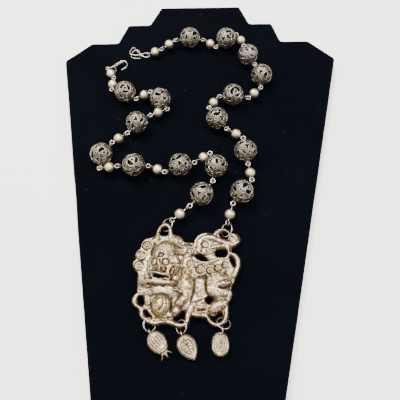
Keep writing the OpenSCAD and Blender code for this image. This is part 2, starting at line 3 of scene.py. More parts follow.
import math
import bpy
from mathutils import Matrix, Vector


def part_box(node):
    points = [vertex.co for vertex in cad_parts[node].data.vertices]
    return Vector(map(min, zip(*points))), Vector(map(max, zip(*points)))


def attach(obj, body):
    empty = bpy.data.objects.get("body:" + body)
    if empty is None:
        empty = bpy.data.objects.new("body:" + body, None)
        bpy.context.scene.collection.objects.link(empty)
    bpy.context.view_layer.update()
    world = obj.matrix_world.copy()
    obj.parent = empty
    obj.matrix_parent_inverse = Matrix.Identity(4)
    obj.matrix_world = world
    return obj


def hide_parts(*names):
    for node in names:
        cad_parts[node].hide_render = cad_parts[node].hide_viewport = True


bl_info = {
    "name": "Foo Dog Necklace",
    "version": (1, 0, 0),
    "blender": (4, 5, 0),
    "location": "3D View > Sidebar > Necklace",
    "description": "Dresses a silver foo dog necklace and its velvet display board",
    "category": "Object",
}

import bmesh
import bpy
import numpy as np
from mathutils import Matrix, Vector, noise

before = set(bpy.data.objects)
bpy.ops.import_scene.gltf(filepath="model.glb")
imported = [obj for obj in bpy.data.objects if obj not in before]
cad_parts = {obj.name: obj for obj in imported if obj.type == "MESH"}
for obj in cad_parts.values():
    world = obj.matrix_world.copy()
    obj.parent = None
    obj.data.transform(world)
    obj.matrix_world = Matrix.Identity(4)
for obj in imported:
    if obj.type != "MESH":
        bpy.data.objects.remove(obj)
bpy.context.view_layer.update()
MM = 0.001
# Points of a seam that are nearer than this, in millimetres, become one
SEAM = 1e-5
BOARD_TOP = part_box("display_board")[1][2] / MM
# How many openwork balls and small beads each strand has
BALLS = {"right": 8, "left": 8}
BEADS = {"right": 9, "left": 9}
RINGS = ("pendant_ring_left", "pendant_ring_right", "charm_ring_left", "charm_ring_middle",
         "charm_ring_right")

# Size of the cells that the board's velvet is divided into, in millimetres
CELL = 12
# Half of the display board's outline, from its foot to its top edge: x and y in millimetres
BOARD_CORNERS = (
    (49.5, -160.5), (106, 102), (86.5, 120.5), (65.5, 120.5), (59, 140.5), (41, 140.5), (33, 160.5))


def colour_setting(name, description, default):
    """A colour that the panel offers."""
    return bpy.props.FloatVectorProperty(
        name=name, description=description, subtype="COLOR", size=3, default=default)


def length_setting(name, description, default):
    """A length in metres that the panel offers."""
    return bpy.props.FloatProperty(name=name, description=description, subtype="DISTANCE", default=default)


class BoardSettings(bpy.types.PropertyGroup):
    """Sizes and colours of the display board"""
    velvet: colour_setting("Velvet", "Colour of the velvet", (0.0006, 0.0009, 0.0017))
    corner: length_setting("Corner radius", "Rounding of the outline's corners", 0.0016)
    edge: length_setting("Edge rounding", "Rounding of the padding at the board's edge", 0.0028)


class SilverSettings(bpy.types.PropertyGroup):
    """Colours of the worn silver"""
    pale: colour_setting("Pendant silver", "Colour of the rubbed pendant", (0.437, 0.346, 0.225))
    ball: colour_setting("Ball silver", "Colour of the openwork balls", (0.47, 0.435, 0.375))
    bead: colour_setting("Bead silver", "Colour of the small beads", (0.86, 0.74, 0.51))
    wire: colour_setting("Wire silver", "Colour of the wire", (0.42, 0.385, 0.34))
    # Tarnish colour: the patina in the recesses, and the painted shade there, inside the balls and on the
    # backs, all take it
    tarnish: colour_setting("Tarnish", "Colour of the dark film in the recesses", (0.062, 0.045, 0.031))


class BallSettings(bpy.types.PropertyGroup):
    """Sizes of the openwork balls"""
    radius: length_setting("Radius", "Radius over the raised scrolls", 0.00768)
    relief: length_setting("Relief", "Height of the scrolls over the ball's wall", 0.0005)
    wall: length_setting("Wall", "Depth of the wall below the scrolls", 0.00035)


class PendantSettings(bpy.types.PropertyGroup):
    """Sizes of the pendant's relief"""
    pitch: length_setting("Pitch", "Distance between the relief's grid lines", 0.000262)
    middle: length_setting("Middle plane", "Height of the seam between the two halves", 0.011)
    rim: length_setting("Rim", "Rounding of the relief's edge", 0.0013)


class StageSettings(bpy.types.PropertyGroup):
    """Colours and light of the stage"""
    floor: colour_setting("Floor", "Colour of the table top", (0.985, 0.985, 0.965))
    key: bpy.props.FloatProperty(
        name="Key light", description="Power of the main light", unit="POWER", default=25.5)
    sky: bpy.props.FloatProperty(name="Sky", description="Strength of the light from all round", default=0.32)


# Node helpers

def node(tree, kind, **values):
    """A new node whose sockets or settings have the values."""
    n = tree.nodes.new(kind)
    for key, value in values.items():
        if key in n.inputs:
            n.inputs[key].default_value = value
        else:
            setattr(n, key, value)
    return n


def new_material(name):
    """A new material, its node tree and its shader."""
    m = bpy.data.materials.new(name)
    m.use_nodes = True
    return m, m.node_tree, m.node_tree.nodes["Principled BSDF"]


def tinted(colour, share):
    """The colour times one share, or times a share each of red, green and blue."""
    return tuple(np.multiply(colour, share))


def ramp(tree, fac, stops):
    """Turns a value into a colour or another value between the stops."""
    r = tree.nodes.new("ShaderNodeValToRGB")
    while len(r.color_ramp.elements) < len(stops):
        r.color_ramp.elements.new(0.5)
    for e, (at, v) in zip(r.color_ramp.elements, stops):
        e.position = at
        e.color = (v, v, v, 1) if isinstance(v, (int, float)) else (*v, 1)
    tree.links.new(fac, r.inputs["Fac"])
    return r.outputs["Color"]


def mix(tree, fac, a, b, blend="MIX"):
    """Mixes two colours."""
    n = tree.nodes.new("ShaderNodeMix")
    n.data_type = "RGBA"
    n.blend_type = blend
    n.clamp_factor = True
    for socket, value in ((n.inputs[0], fac), (n.inputs[6], a), (n.inputs[7], b)):
        if isinstance(value, bpy.types.NodeSocket):
            tree.links.new(value, socket)
        else:
            socket.default_value = value if isinstance(value, (int, float)) else (*value, 1)
    return n.outputs[2]


def math_node(tree, operation, a, b=0.0, clamp=False):
    """Works out one value from two."""
    n = tree.nodes.new("ShaderNodeMath")
    n.operation = operation
    n.use_clamp = clamp
    for socket, value in ((n.inputs[0], a), (n.inputs[1], b)):
        if isinstance(value, bpy.types.NodeSocket):
            tree.links.new(value, socket)
        else:
            socket.default_value = value
    return n.outputs[0]


def noise_value(tree, coords, scale, detail=3, rough=0.55):
    """Soft noise from 0 to 1; the scale is per metre."""
    n = node(tree, "ShaderNodeTexNoise", Scale=scale, Detail=detail, Roughness=rough)
    tree.links.new(coords, n.inputs["Vector"])
    return n.outputs["Fac"]


def worn_silver(name, tone, rubbed, recess, film, hammer, grain, punch=0.0):
    """Silver with patina and painted shade in its recesses, soft blotches and a faintly hammered face.

    tone names the colour's setting. rubbed and recess are the roughness of the raised and of the dark
    places, film is the share of blotches, and hammer, punch and grain are the depths of the dents, of the
    punched marks and of the casting's skin.
    """
    m, tree, shader = new_material(name)
    silver = bpy.context.scene.necklace_silver
    colour, tarnish = tuple(getattr(silver, tone)), tuple(silver.tarnish)
    at = node(tree, "ShaderNodeTexCoord").outputs["Object"]
    # The mesh's attribute carries patina and painted shade: recesses, the open mouth, the balls' insides and
    # the backs are darker
    dark = node(tree, "ShaderNodeAttribute", attribute_name="tarnish").outputs["Fac"]
    blotch = ramp(tree, noise_value(tree, at, 260, 4, 0.6), ((0.36, 0.0), (0.68, 1.0)))
    speck = ramp(tree, noise_value(tree, at, 1500, 3, 0.6), ((0.42, 0.0), (0.62, 1.0)))
    film_mask = math_node(tree, "MULTIPLY", blotch, film)
    shade = math_node(tree, "ADD", dark, math_node(tree, "MULTIPLY", film_mask, 0.45))
    shade = math_node(tree, "ADD", shade, math_node(tree, "MULTIPLY", speck, 0.14), clamp=True)
    tint = node(tree, "ShaderNodeAttribute", attribute_name="tint").outputs["Fac"]
    cast = math_node(tree, "ADD", noise_value(tree, at, 90, 3, 0.5), tint)
    pink, yellow = tinted(colour, (1.05, 0.95, 0.97)), tinted(colour, (1.03, 1.0, 0.76))
    base = mix(tree, shade, ramp(tree, cast, ((0.25, pink), (0.5, colour), (0.75, yellow))), tarnish)
    # Painted shade: the deepest recesses, such as the open mouth, go nearly black
    base = mix(tree, ramp(tree, dark, ((0.82, 0.0), (1.0, 1.0))), base, tinted(tarnish, 0.2))
    tree.links.new(base, shader.inputs["Base Color"])
    shader.inputs["Metallic"].default_value = 1.0
    rough = math_node(tree, "ADD", math_node(tree, "MULTIPLY", shade, recess - rubbed), rubbed)
    rough = math_node(tree, "ADD", rough, math_node(tree, "MULTIPLY", speck, 0.08), clamp=True)
    tree.links.new(rough, shader.inputs["Roughness"])
    dents = node(tree, "ShaderNodeBump", Strength=hammer, Distance=0.00025)
    tree.links.new(noise_value(tree, at, 420, 2, 0.4), dents.inputs["Height"])
    punched = node(tree, "ShaderNodeTexVoronoi", Scale=1150, feature="SMOOTH_F1", Smoothness=0.4)
    tree.links.new(at, punched.inputs["Vector"])
    marks = node(tree, "ShaderNodeBump", Strength=punch, Distance=0.00022)
    tree.links.new(punched.outputs["Distance"], marks.inputs["Height"])
    tree.links.new(dents.outputs["Normal"], marks.inputs["Normal"])
    fine = node(tree, "ShaderNodeBump", Strength=grain, Distance=0.00006)
    tree.links.new(noise_value(tree, at, 2600, 3, 0.6), fine.inputs["Height"])
    tree.links.new(marks.outputs["Normal"], fine.inputs["Normal"])
    tree.links.new(fine.outputs["Normal"], shader.inputs["Normal"])
    return m


def velvet(name, colour):
    """Black cotton velvet: a dark nap with a soft sheen, brushed in patches and dotted with lint."""
    m, tree, shader = new_material(name)
    at = node(tree, "ShaderNodeTexCoord").outputs["Object"]
    brushed = ramp(tree, noise_value(tree, at, 22, 4, 0.6),
                   ((0.3, tinted(colour, 0.75)), (0.7, tinted(colour, 1.5))))
    nap = noise_value(tree, at, 900, 4, 0.7)
    base = mix(tree, ramp(tree, nap, ((0.35, 0.0), (0.75, 0.55))), brushed, tinted(colour, 2.6))
    lint = ramp(tree, noise_value(tree, at, 420, 1, 0.3), ((0.80, 0.0), (0.84, 1.0)))
    base = mix(tree, math_node(tree, "MULTIPLY", lint, 0.35), base, (0.05, 0.052, 0.055))
    tree.links.new(base, shader.inputs["Base Color"])
    for socket, value in (("Roughness", 0.95), ("Specular IOR Level", 0.02), ("Sheen Weight", 0.02),
                          ("Sheen Roughness", 0.35), ("Sheen Tint", (0.55, 0.68, 0.9, 1))):
        shader.inputs[socket].default_value = value
    bump = node(tree, "ShaderNodeBump", Strength=0.35, Distance=0.0004)
    tree.links.new(nap, bump.inputs["Height"])
    tree.links.new(bump.outputs["Normal"], shader.inputs["Normal"])
    return m


# Mesh helpers

def piece(name, bm, material, slot, *nodes):
    """Turns a bmesh in millimetres into a piece in metres that stands for the CAD nodes."""
    bmesh.ops.scale(bm, vec=(MM, MM, MM), verts=bm.verts)
    for f in bm.faces:
        f.smooth = True
    mesh = bpy.data.meshes.new(name)
    bm.to_mesh(mesh)
    bm.free()
    mesh.materials.append(material)
    o = bpy.data.objects.new(name, mesh)
    bpy.context.scene.collection.objects.link(o)
    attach(o, "root")
    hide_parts(*nodes)
    return o


def finish_node(name, material):
    """Gives a CAD node its procedural material."""
    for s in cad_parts[name].material_slots:
        s.material = material


def round_turn(count):
    """Angles evenly round a full turn."""
    return np.linspace(0, 2 * np.pi, count, endpoint=False)


def spline(points, steps, closed=False):
    """A smooth curve through the points, as an array with steps rows from each to the next."""
    p = np.array(points, float)
    n = len(p)
    rows = []
    for i in range(n if closed else n - 1):
        a, b, c, d = ((p[(i + k) % n] for k in (-1, 0, 1, 2)) if closed
                      else (p[min(max(i + k, 0), n - 1)] for k in (-1, 0, 1, 2)))
        for k in range(steps):
            t = k / steps
            rows.append((2 * b + (c - a) * t + (2 * a - 5 * b + 4 * c - d) * t * t
                         + (3 * b - a - 3 * c + d) * t ** 3) / 2)
    if not closed:
        rows.append(p[-1])
    return np.array(rows)


def sweep(bm, points, radius, sides=10, closed=False):
    """A round wire along the points; its ends are drawn in to small caps."""
    p = [Vector(q) for q in points]
    n = len(p)
    rings = []
    side = None
    for i in range(n):
        along = (p[(i + 1) % n] - p[i - 1]) if closed else (p[min(i + 1, n - 1)] - p[max(i - 1, 0)])
        along.normalize()
        side = along.orthogonal() if side is None else side - along * side.dot(along)
        side.normalize()
        turn = Matrix((side, along.cross(side), along)).transposed().to_4x4()
        place = Matrix.Translation(p[i]) @ turn
        ring = bmesh.ops.create_circle(bm, segments=sides, radius=radius, matrix=place)["verts"]
        edges = list({e for v in ring for e in v.link_edges})
        if rings:
            bmesh.ops.bridge_loops(bm, edges=rings[-1] + edges)
        rings.append(edges)
    if closed:
        bmesh.ops.bridge_loops(bm, edges=rings[-1] + rings[0])
        return
    for ring, out in ((rings[0], p[0] - p[1]), (rings[-1], p[-1] - p[-2])):
        cap = bmesh.ops.edgeloop_fill(bm, edges=ring)["faces"]
        bmesh.ops.inset_region(bm, faces=cap, thickness=radius * 0.4, depth=0)
        verts = {v for f in cap for v in f.verts}
        bmesh.ops.translate(bm, verts=list(verts), vec=out.normalized() * radius * 0.5)


# Fields over the plane, for relief that is beaten up from a sheet

def distance_to(points, x, y, closed=False):
    """Distance from each place to a polyline, and how far along it the nearest point lies, from 0 to 1."""
    p = np.array(points, float)
    if closed:
        p = np.vstack([p, p[:1]])
    best = np.full(x.shape, 1e9)
    along = np.zeros(x.shape)
    for i, (a, b) in enumerate(zip(p[:-1], p[1:])):
        d = b - a
        t = np.clip(((x - a[0]) * d[0] + (y - a[1]) * d[1]) / max(d @ d, 1e-12), 0, 1)
        r = np.hypot(x - a[0] - t * d[0], y - a[1] - t * d[1])
        near = r < best
        best[near] = r[near]
        along[near] = ((i + t) / (len(p) - 1))[near]
    return best, along


def signed_distance(outline, x, y):
    """Distance to a closed outline, below zero inside it."""
    d, _ = distance_to(outline, x, y, closed=True)
    inside = np.zeros(x.shape, bool)
    p = np.array(outline, float)
    for a, b in zip(p, np.roll(p, -1, axis=0)):
        crosses = (a[1] > y) != (b[1] > y)
        with np.errstate(divide="ignore", invalid="ignore"):
            inside ^= crosses & (x < (b[0] - a[0]) * (y - a[1]) / (b[1] - a[1]) + a[0])
    return np.where(inside, -d, d)


def swelling(sd, reach):
    """A quarter round from the edge, as a share of the full height."""
    return np.sqrt(np.clip(1 - (1 - np.clip(-sd / reach, 0, 1)) ** 2, 0, 1))


def blur(h, radius):
    """A soft average over a square window, done twice."""
    for _ in range(2):
        for axis in (0, 1):
            total = np.zeros_like(h)
            for k in range(-radius, radius + 1):
                total += np.roll(h, k, axis)
            h = total / (2 * radius + 1)
    return h


def beaten_sheet(low, high, pitch, edge_distance, front, back, middle, rim, tarnish, tint=None):
    """A closed two-sided relief on a grid, cut to an outline.

    edge_distance(x, y) is below zero inside; front and back are heights over and under the middle plane.
    """
    nx, ny = (max(2, int(round((high[k] - low[k]) / pitch))) for k in (0, 1))
    gx = low[0] + np.arange(nx + 1) * pitch
    gy = low[1] + np.arange(ny + 1) * pitch
    x, y = np.meshgrid(gx, gy)
    sd = edge_distance(x, y)
    top = front(x, y, sd)
    under = back(x, y, sd)
    fade = swelling(sd, rim)
    # Patina and painted shade at each place of the front
    shade = tarnish(x, y, top, sd)
    cast = tint(x, y) if tint else np.zeros(x.shape)

    bm = bmesh.new()
    bmesh.ops.create_grid(bm, x_segments=nx, y_segments=ny, size=0.5)
    layer = bm.verts.layers.float.new("tarnish")
    tint_layer = bm.verts.layers.float.new("tint")
    under_layer = bm.verts.layers.float.new("under")
    place = np.array([v.co[:2] for v in bm.verts])
    ix = np.rint((place[:, 0] + 0.5) * nx).astype(int)
    iy = np.rint((place[:, 1] + 0.5) * ny).astype(int)
    centre = (sd[:-1, :-1] + sd[1:, :-1] + sd[:-1, 1:] + sd[1:, 1:]) / 4
    bm.verts.index_update()
    outside = []
    for f in bm.faces:
        row = min(iy[v.index] for v in f.verts)
        column = min(ix[v.index] for v in f.verts)
        if centre[row, column] > 0.1 * pitch:
            outside.append(f)
    for v, column, row in zip(bm.verts, ix, iy):
        v.co = (gx[column], gy[row], top[row, column] * fade[row, column])
        v[layer] = float(shade[row, column])
        v[tint_layer] = float(cast[row, column])
        v[under_layer] = -float(under[row, column] * fade[row, column])
    bmesh.ops.delete(bm, geom=outside, context="FACES")
    rim_verts = [v for v in bm.verts if v.is_boundary]
    at = np.array([v.co[:2] for v in rim_verts])
    step = 0.2 * pitch
    for _ in range(2):
        d = edge_distance(at[:, 0], at[:, 1])
        beside = edge_distance(at[:, 0] + step, at[:, 1])
        above = edge_distance(at[:, 0], at[:, 1] + step)
        g = np.stack([beside - d, above - d], 1) / step
        at = at - np.clip(d, -pitch, pitch)[:, None] * g / np.maximum((g * g).sum(1), 0.3)[:, None]
    for v, p in zip(rim_verts, at):
        v.co = (p[0], p[1], 0)
        v[under_layer] = 0.0
    made = bmesh.ops.duplicate(bm, geom=bm.verts[:] + bm.edges[:] + bm.faces[:])["geom"]
    # The back is a darker copy: painted shade, as it lies face down on the velvet
    for v in (g for g in made if isinstance(g, bmesh.types.BMVert)):
        v.co.z = v[under_layer]
        v[layer] = min(1.0, 0.35 + 0.5 * v[layer])
    bmesh.ops.reverse_faces(bm, faces=[g for g in made if isinstance(g, bmesh.types.BMFace)])
    bmesh.ops.remove_doubles(bm, verts=[v for v in bm.verts if v.is_boundary], dist=SEAM)
    bmesh.ops.translate(bm, verts=bm.verts, vec=(0, 0, middle))
    bm.verts.layers.float.remove(bm.verts.layers.float["under"])
    return bm


class Relief:
    """Heights over a sheet's middle plane, raised and cut feature by feature."""
    # Widths of the lines chased round a lump's foot and beside a tube
    foot_line, tube_line = 0.28, 0.3

    def __init__(self, x, y, height, lines=None):
        self.x, self.y = x, y
        self.columns, self.rows = lines or (x[0], y[:, 0])
        self.h = np.full(x.shape, float(height)) if np.isscalar(height) else height.copy()

    def window(self, low, high):
        """The part of the sheet round a box, with room for what is moved by its height."""
        i0, i1 = np.searchsorted(self.columns, low[0] - 1), np.searchsorted(self.columns, high[0] + 1)
        j0, j1 = np.searchsorted(self.rows, low[1] - 3.5), np.searchsorted(self.rows, high[1] + 0.5)
        return (slice(j0, j1), slice(i0, i1))

    def around(self, points, room):
        """The part of the sheet round the points."""
        p = np.array(points, float)
        return self.window(p.min(0) - room, p.max(0) + room)

    def dome(self, cx, cy, rx, ry, height, turn=0.0, power=0.5, soft=0.35, groove=0.0):
        """Raises a rounded lump, and cuts a line round its foot."""
        reach = max(rx, ry) * 1.5
        w = self.window((cx - reach, cy - reach), (cx + reach, cy + reach))
        c, s = math.cos(math.radians(turn)), math.sin(math.radians(turn))
        u = (self.x[w] - cx) * c + (self.y[w] - cy) * s
        v = (self.y[w] - cy) * c - (self.x[w] - cx) * s
        q = np.hypot(u / rx, v / ry)
        lump = height * np.clip(1 - q * q, 0, 1) ** power
        h = self.h[w]
        blended = 0.5 * (h + lump + np.sqrt((h - lump) ** 2 + soft ** 2))
        self.h[w] = np.where(q < 1, blended - soft * 0.5 * (1 - np.clip((1 - q) * 4, 0, 1)), h)
        if groove:
            self.h[w] -= groove * np.exp(-((q - 1) * min(rx, ry) / self.foot_line) ** 2)

    def cord(self, points, radius, height, end_radius=None, groove=0.25, steps=6, closed=False):
        """Raises a round tube whose crown stands at the height, with a line on both sides."""
        p = spline(points, steps, closed)
        w = self.around(p, radius * 2 + 1)
        d, t = distance_to(p, self.x[w], self.y[w], closed)
        r = radius + ((end_radius if end_radius is not None else radius) - radius) * t
        tube = height - r + np.sqrt(np.clip(r * r - d * d, 0, None))
        h = self.h[w] - groove * np.exp(-((d - r) / self.tube_line) ** 2)
        self.h[w] = np.where((d < r) & (tube > h), tube, h)

    def cut(self, points, depth, width=0.32, steps=6, taper=True):
        """Chases a line."""
        p = spline(points, steps) if len(points) > 2 else np.array(points, float)
        w = self.around(p, width * 4)
        d, t = distance_to(p, self.x[w], self.y[w])
        strength = np.sqrt(np.clip(4 * t * (1 - t), 0.05, 1)) if taper else 1.0
        self.h[w] -= depth * strength * np.exp(-(d / width) ** 2)

    def curl(self, cx, cy, r, turn, sense, lift=0.7, depth=0.55, turns=1.5, width=0.3):
        """Raises a round button and chases a spiral into it."""
        reach = r * 1.5
        w = self.window((cx - reach, cy - reach), (cx + reach, cy + reach))
        q = np.hypot(self.x[w] - cx, self.y[w] - cy) / r
        button = np.where(q < 1, lift * np.sqrt(np.clip(1 - q ** 3, 0, 1)), 0)
        self.h[w] += button - depth * np.exp(-((q - 1) * r / width) ** 2)
        k = np.linspace(0, 1, int(26 * turns))
        a = np.radians(turn) + sense * 2 * np.pi * turns * k
        rho = r * (0.96 - 0.74 * k)
        spiral = np.stack([cx + rho * np.cos(a), cy + rho * np.sin(a)], 1)
        self.cut(spiral, depth, width * (0.75 + 0.12 * r), 1, False)

    def comb(self, start, end, count, length, turn, depth, width=0.22, bend=0.0):
        """Chases a row of short lines from start to end."""
        for k in range(count):
            t = k / max(count - 1, 1)
            cx, cy = start[0] + (end[0] - start[0]) * t, start[1] + (end[1] - start[1]) * t
            a = math.radians(turn + bend * (t - 0.5))
            self.cut(((cx, cy), (cx + length * math.cos(a), cy + length * math.sin(a))), depth, width, 1)

    def ringed_oval(self, cx, cy, rx, ry, turn, lift, depth, rim):
        """Raises an oval inside a chased ring, with a low rim outside it."""
        w = self.window((cx - 4, cy - 4), (cx + 4, cy + 4))
        c, s = math.cos(math.radians(turn)), math.sin(math.radians(turn))
        u = ((self.x[w] - cx) * c + (self.y[w] - cy) * s) / rx
        v = ((self.y[w] - cy) * c - (self.x[w] - cx) * s) / ry
        q = np.hypot(u, v)
        off = (q - 1) * np.hypot(u * rx, v * ry) / np.maximum(q, 0.05)
        ring_at, ring_width, rim_at, rim_width = 0.15, 0.36, 1.0, 0.4
        ring = depth * np.exp(-((off - ring_at) / ring_width) ** 2)
        self.h[w] += lift * np.clip(1 - q * q, 0, 1) ** 0.5 - ring
        self.h[w] += rim * np.exp(-((off - rim_at) / rim_width) ** 2)

    def pebbles(self, cx, cy, rx, ry, size, depth, seed):
        """Covers an oval with small round grains."""
        w = self.window((cx - rx, cy - ry), (cx + rx, cy + ry))
        rng = np.random.default_rng(seed)
        q = np.hypot((self.x[w] - cx) / rx, (self.y[w] - cy) / ry)
        nx, ny = int(2 * rx / size) + 1, int(2 * ry / size) + 1
        best = np.full(q.shape, 9.0)
        for i in range(nx):
            for j in range(ny):
                px = cx - rx + (i + 0.5 * (j % 2) + rng.uniform(-0.25, 0.25)) * size
                py = cy - ry + (j + rng.uniform(-0.25, 0.25)) * size
                best = np.minimum(best, np.hypot(self.x[w] - px, self.y[w] - py) / size)
        self.h[w] += np.clip((1 - q) * 3, 0, 1) * depth * (0.55 - np.clip(best, 0, 1))


# The pendant, in the board's millimetres as its middle plane shows them

PENDANT_SHEET = ((-36, -106.6), (31.4, -39.2))
# Chased lines are rubbed shallower and broader by wear
WEAR = 0.9
# The outline, clockwise from the left arch, and the holes
PENDANT_OUTLINE = (
    (-23, -49), (-22.4, -46), (-21, -43), (-19, -40.9), (-16.6, -40), (-14, -41.2), (-12.3, -44),
    (-11.7, -47), (-10.5, -48.4), (-8, -49), (-6, -50), (-5, -52), (-3, -53.2), (0, -53.4), (1.4, -53.2),
    (2, -51), (4, -48.4), (6.5, -47), (9, -46.5), (11.5, -46.8), (13.2, -47), (14, -45.8), (16, -44.2),
    (19, -43.6), (21.5, -44.2), (23.6, -46.4), (26, -46.9), (28.4, -47.7), (30, -49.4), (30.6, -51.6),
    (29.8, -54), (28, -56), (25.6, -57.3), (24.7, -58.6), (25.4, -59.9), (27.6, -60.4), (29.4, -62.2),
    (30.4, -65), (30.4, -68.4), (29.4, -71.6), (28, -74.6), (26.8, -77.4), (25.6, -80), (24.6, -82),
    (25.1, -84.4), (25.2, -86.6), (24, -89), (23, -91), (23, -95), (23, -98.6), (21.8, -101.6),
    (19.6, -104), (16.8, -105), (13.8, -104.5), (11.4, -102.8), (9.6, -100.4), (7, -99.8), (4, -99.6),
    (1.7, -99.4), (0.9, -101.4), (0, -104), (-2, -105.5), (-5, -105.8), (-9, -105), (-12, -104.1),
    (-14.6, -103.8), (-17.4, -104.4), (-20.4, -104.5), (-23.6, -103.7), (-26.4, -102), (-28.6, -99.6),
    (-29.4, -97), (-29.9, -95.4), (-32, -94), (-33.9, -91.8), (-34.2, -89.2), (-33.2, -86.8),
    (-31.6, -85.4), (-31.6, -82), (-32, -78), (-32, -74), (-33.8, -71.8), (-35.3, -69.4), (-35.3, -66.6),
    (-34.1, -64.4), (-34.4, -61.8), (-33.6, -59), (-31.5, -57.2), (-31.3, -54.8), (-30.3, -52.4),
    (-28, -50.7), (-25.2, -50.2))
PENDANT_HOLES = (
    ((-17.2, -43.2), (-19, -44.2), (-20, -46.6), (-19.4, -48.6), (-17.2, -49), (-15.2, -48.6),
     (-14.8, -46.2), (-15.4, -44)),
    ((19.6, -46.2), (17.6, -47.4), (17.6, -49), (19.4, -50.4), (21.8, -51.2), (22.8, -50), (22.6, -47.8),
     (21.4, -46.4)),
    ((2.4, -61.7), (4.4, -61.7), (7, -62.2), (9, -63.6), (10.3, -65.1), (8.4, -65.5), (5.6, -65),
     (3.6, -63.5)),
    ((14.9, -60), (15.6, -58.6), (17.6, -58.1), (20, -58.1), (21.6, -58.9), (21.8, -60.8), (21, -62.5),
     (18.4, -62.9), (16, -62.6), (15, -61.6)),
    ((24.3, -62.8), (25.8, -64), (26.7, -66.4), (26.3, -68.9), (24.9, -67), (23.8, -64.6)),
    ((9.1, -89), (10.8, -87.3), (12.4, -87.7), (14, -88.7), (12.7, -90.3), (11.5, -91.7), (10.1, -90.8)),
    ((-29.8, -87.9), (-28.2, -87.6), (-27.2, -89), (-26.6, -91.4), (-27.5, -93), (-29.5, -92.3),
     (-30.4, -90)),
    ((-26.2, -96.6), (-24.8, -95.9), (-23.2, -98), (-21.6, -99.8), (-23.2, -99.8), (-25.2, -98.8)),
    ((-3.2, -95.8), (-2.6, -98), (-2.7, -101), (-3.3, -102.8), (-5.6, -102.5), (-8.2, -101.2),
     (-9, -100.1), (-7, -99.3), (-5.2, -98)),
    ((11.4, -97.6), (13, -98.9), (15.4, -98.4), (17, -97), (19, -96.8), (19.3, -99.4), (18, -101.5),
     (15.4, -101.9), (13, -100.4)),
)
# Round lumps: centre, half width, half height, height over the middle plane, turn
PENDANT_LUMPS = (
    (-16.8, -65, 8.6, 14.5, 4.7, 4), (-18.6, -73, 6.6, 5.6, 5.5, 0), (-16.4, -58, 7.2, 6.6, 5.2, 0),
    (-9.6, -68.5, 3.8, 6.5, 4.3, 0), (-17, -63, 6, 4, 5.5, 0), (-27.8, -55, 3.6, 4.2, 2.6, 0),
    (-30.6, -61.6, 4, 4, 2.7, 0), (-31.2, -68.4, 4.2, 4, 2.7, 0), (-22.4, -52, 3.4, 2.8, 3, 0),
    (-8, -52.4, 4.6, 3.4, 3, -25), (-2.4, -58.4, 5.4, 5, 3.3, 0), (-1.6, -67, 5.4, 7.4, 3.6, 0),
    (-3, -79.6, 5.4, 7.6, 4.5, 0), (5.6, -80, 5.2, 8, 3.7, 0), (16.4, -77, 8, 7, 4.6, -8),
    (20.8, -78.8, 4.4, 2.6, 5.2, 8), (15.8, -83, 8.4, 5.4, 4.3, -10), (24, -85.6, 2.4, 3, 2.4, 0),
    (17, -91.6, 6.2, 3.6, 3.7, 32), (14.4, -94.6, 4.2, 2.6, 3.2, 10), (-3.8, -88.4, 3.4, 6.4, 4.3, -32),
    (-7.6, -95.4, 3.4, 4.2, 4.4, 0), (-8.6, -89.4, 2.6, 4.6, 3.4, -20), (-16.8, -92.2, 6.2, 7.2, 5.4, 0),
    (-25, -88.6, 3, 5.6, 3.4, 15), (-16, -83.6, 10, 4.8, 3.7, 0), (6, -93.4, 5, 4, 2.9, 0),
    (5, -98, 4.4, 2.2, 2.4, 0), (9, -54.6, 5.4, 4.6, 2.6, 0), (10, -59.4, 5.2, 2.4, 2.4, 10),
    (27, -51.4, 3.8, 3.6, 3, 0), (12, -70.4, 13, 4.2, 3.4, 6), (-29.4, -78.4, 2.8, 6, 2.6, 4),
)
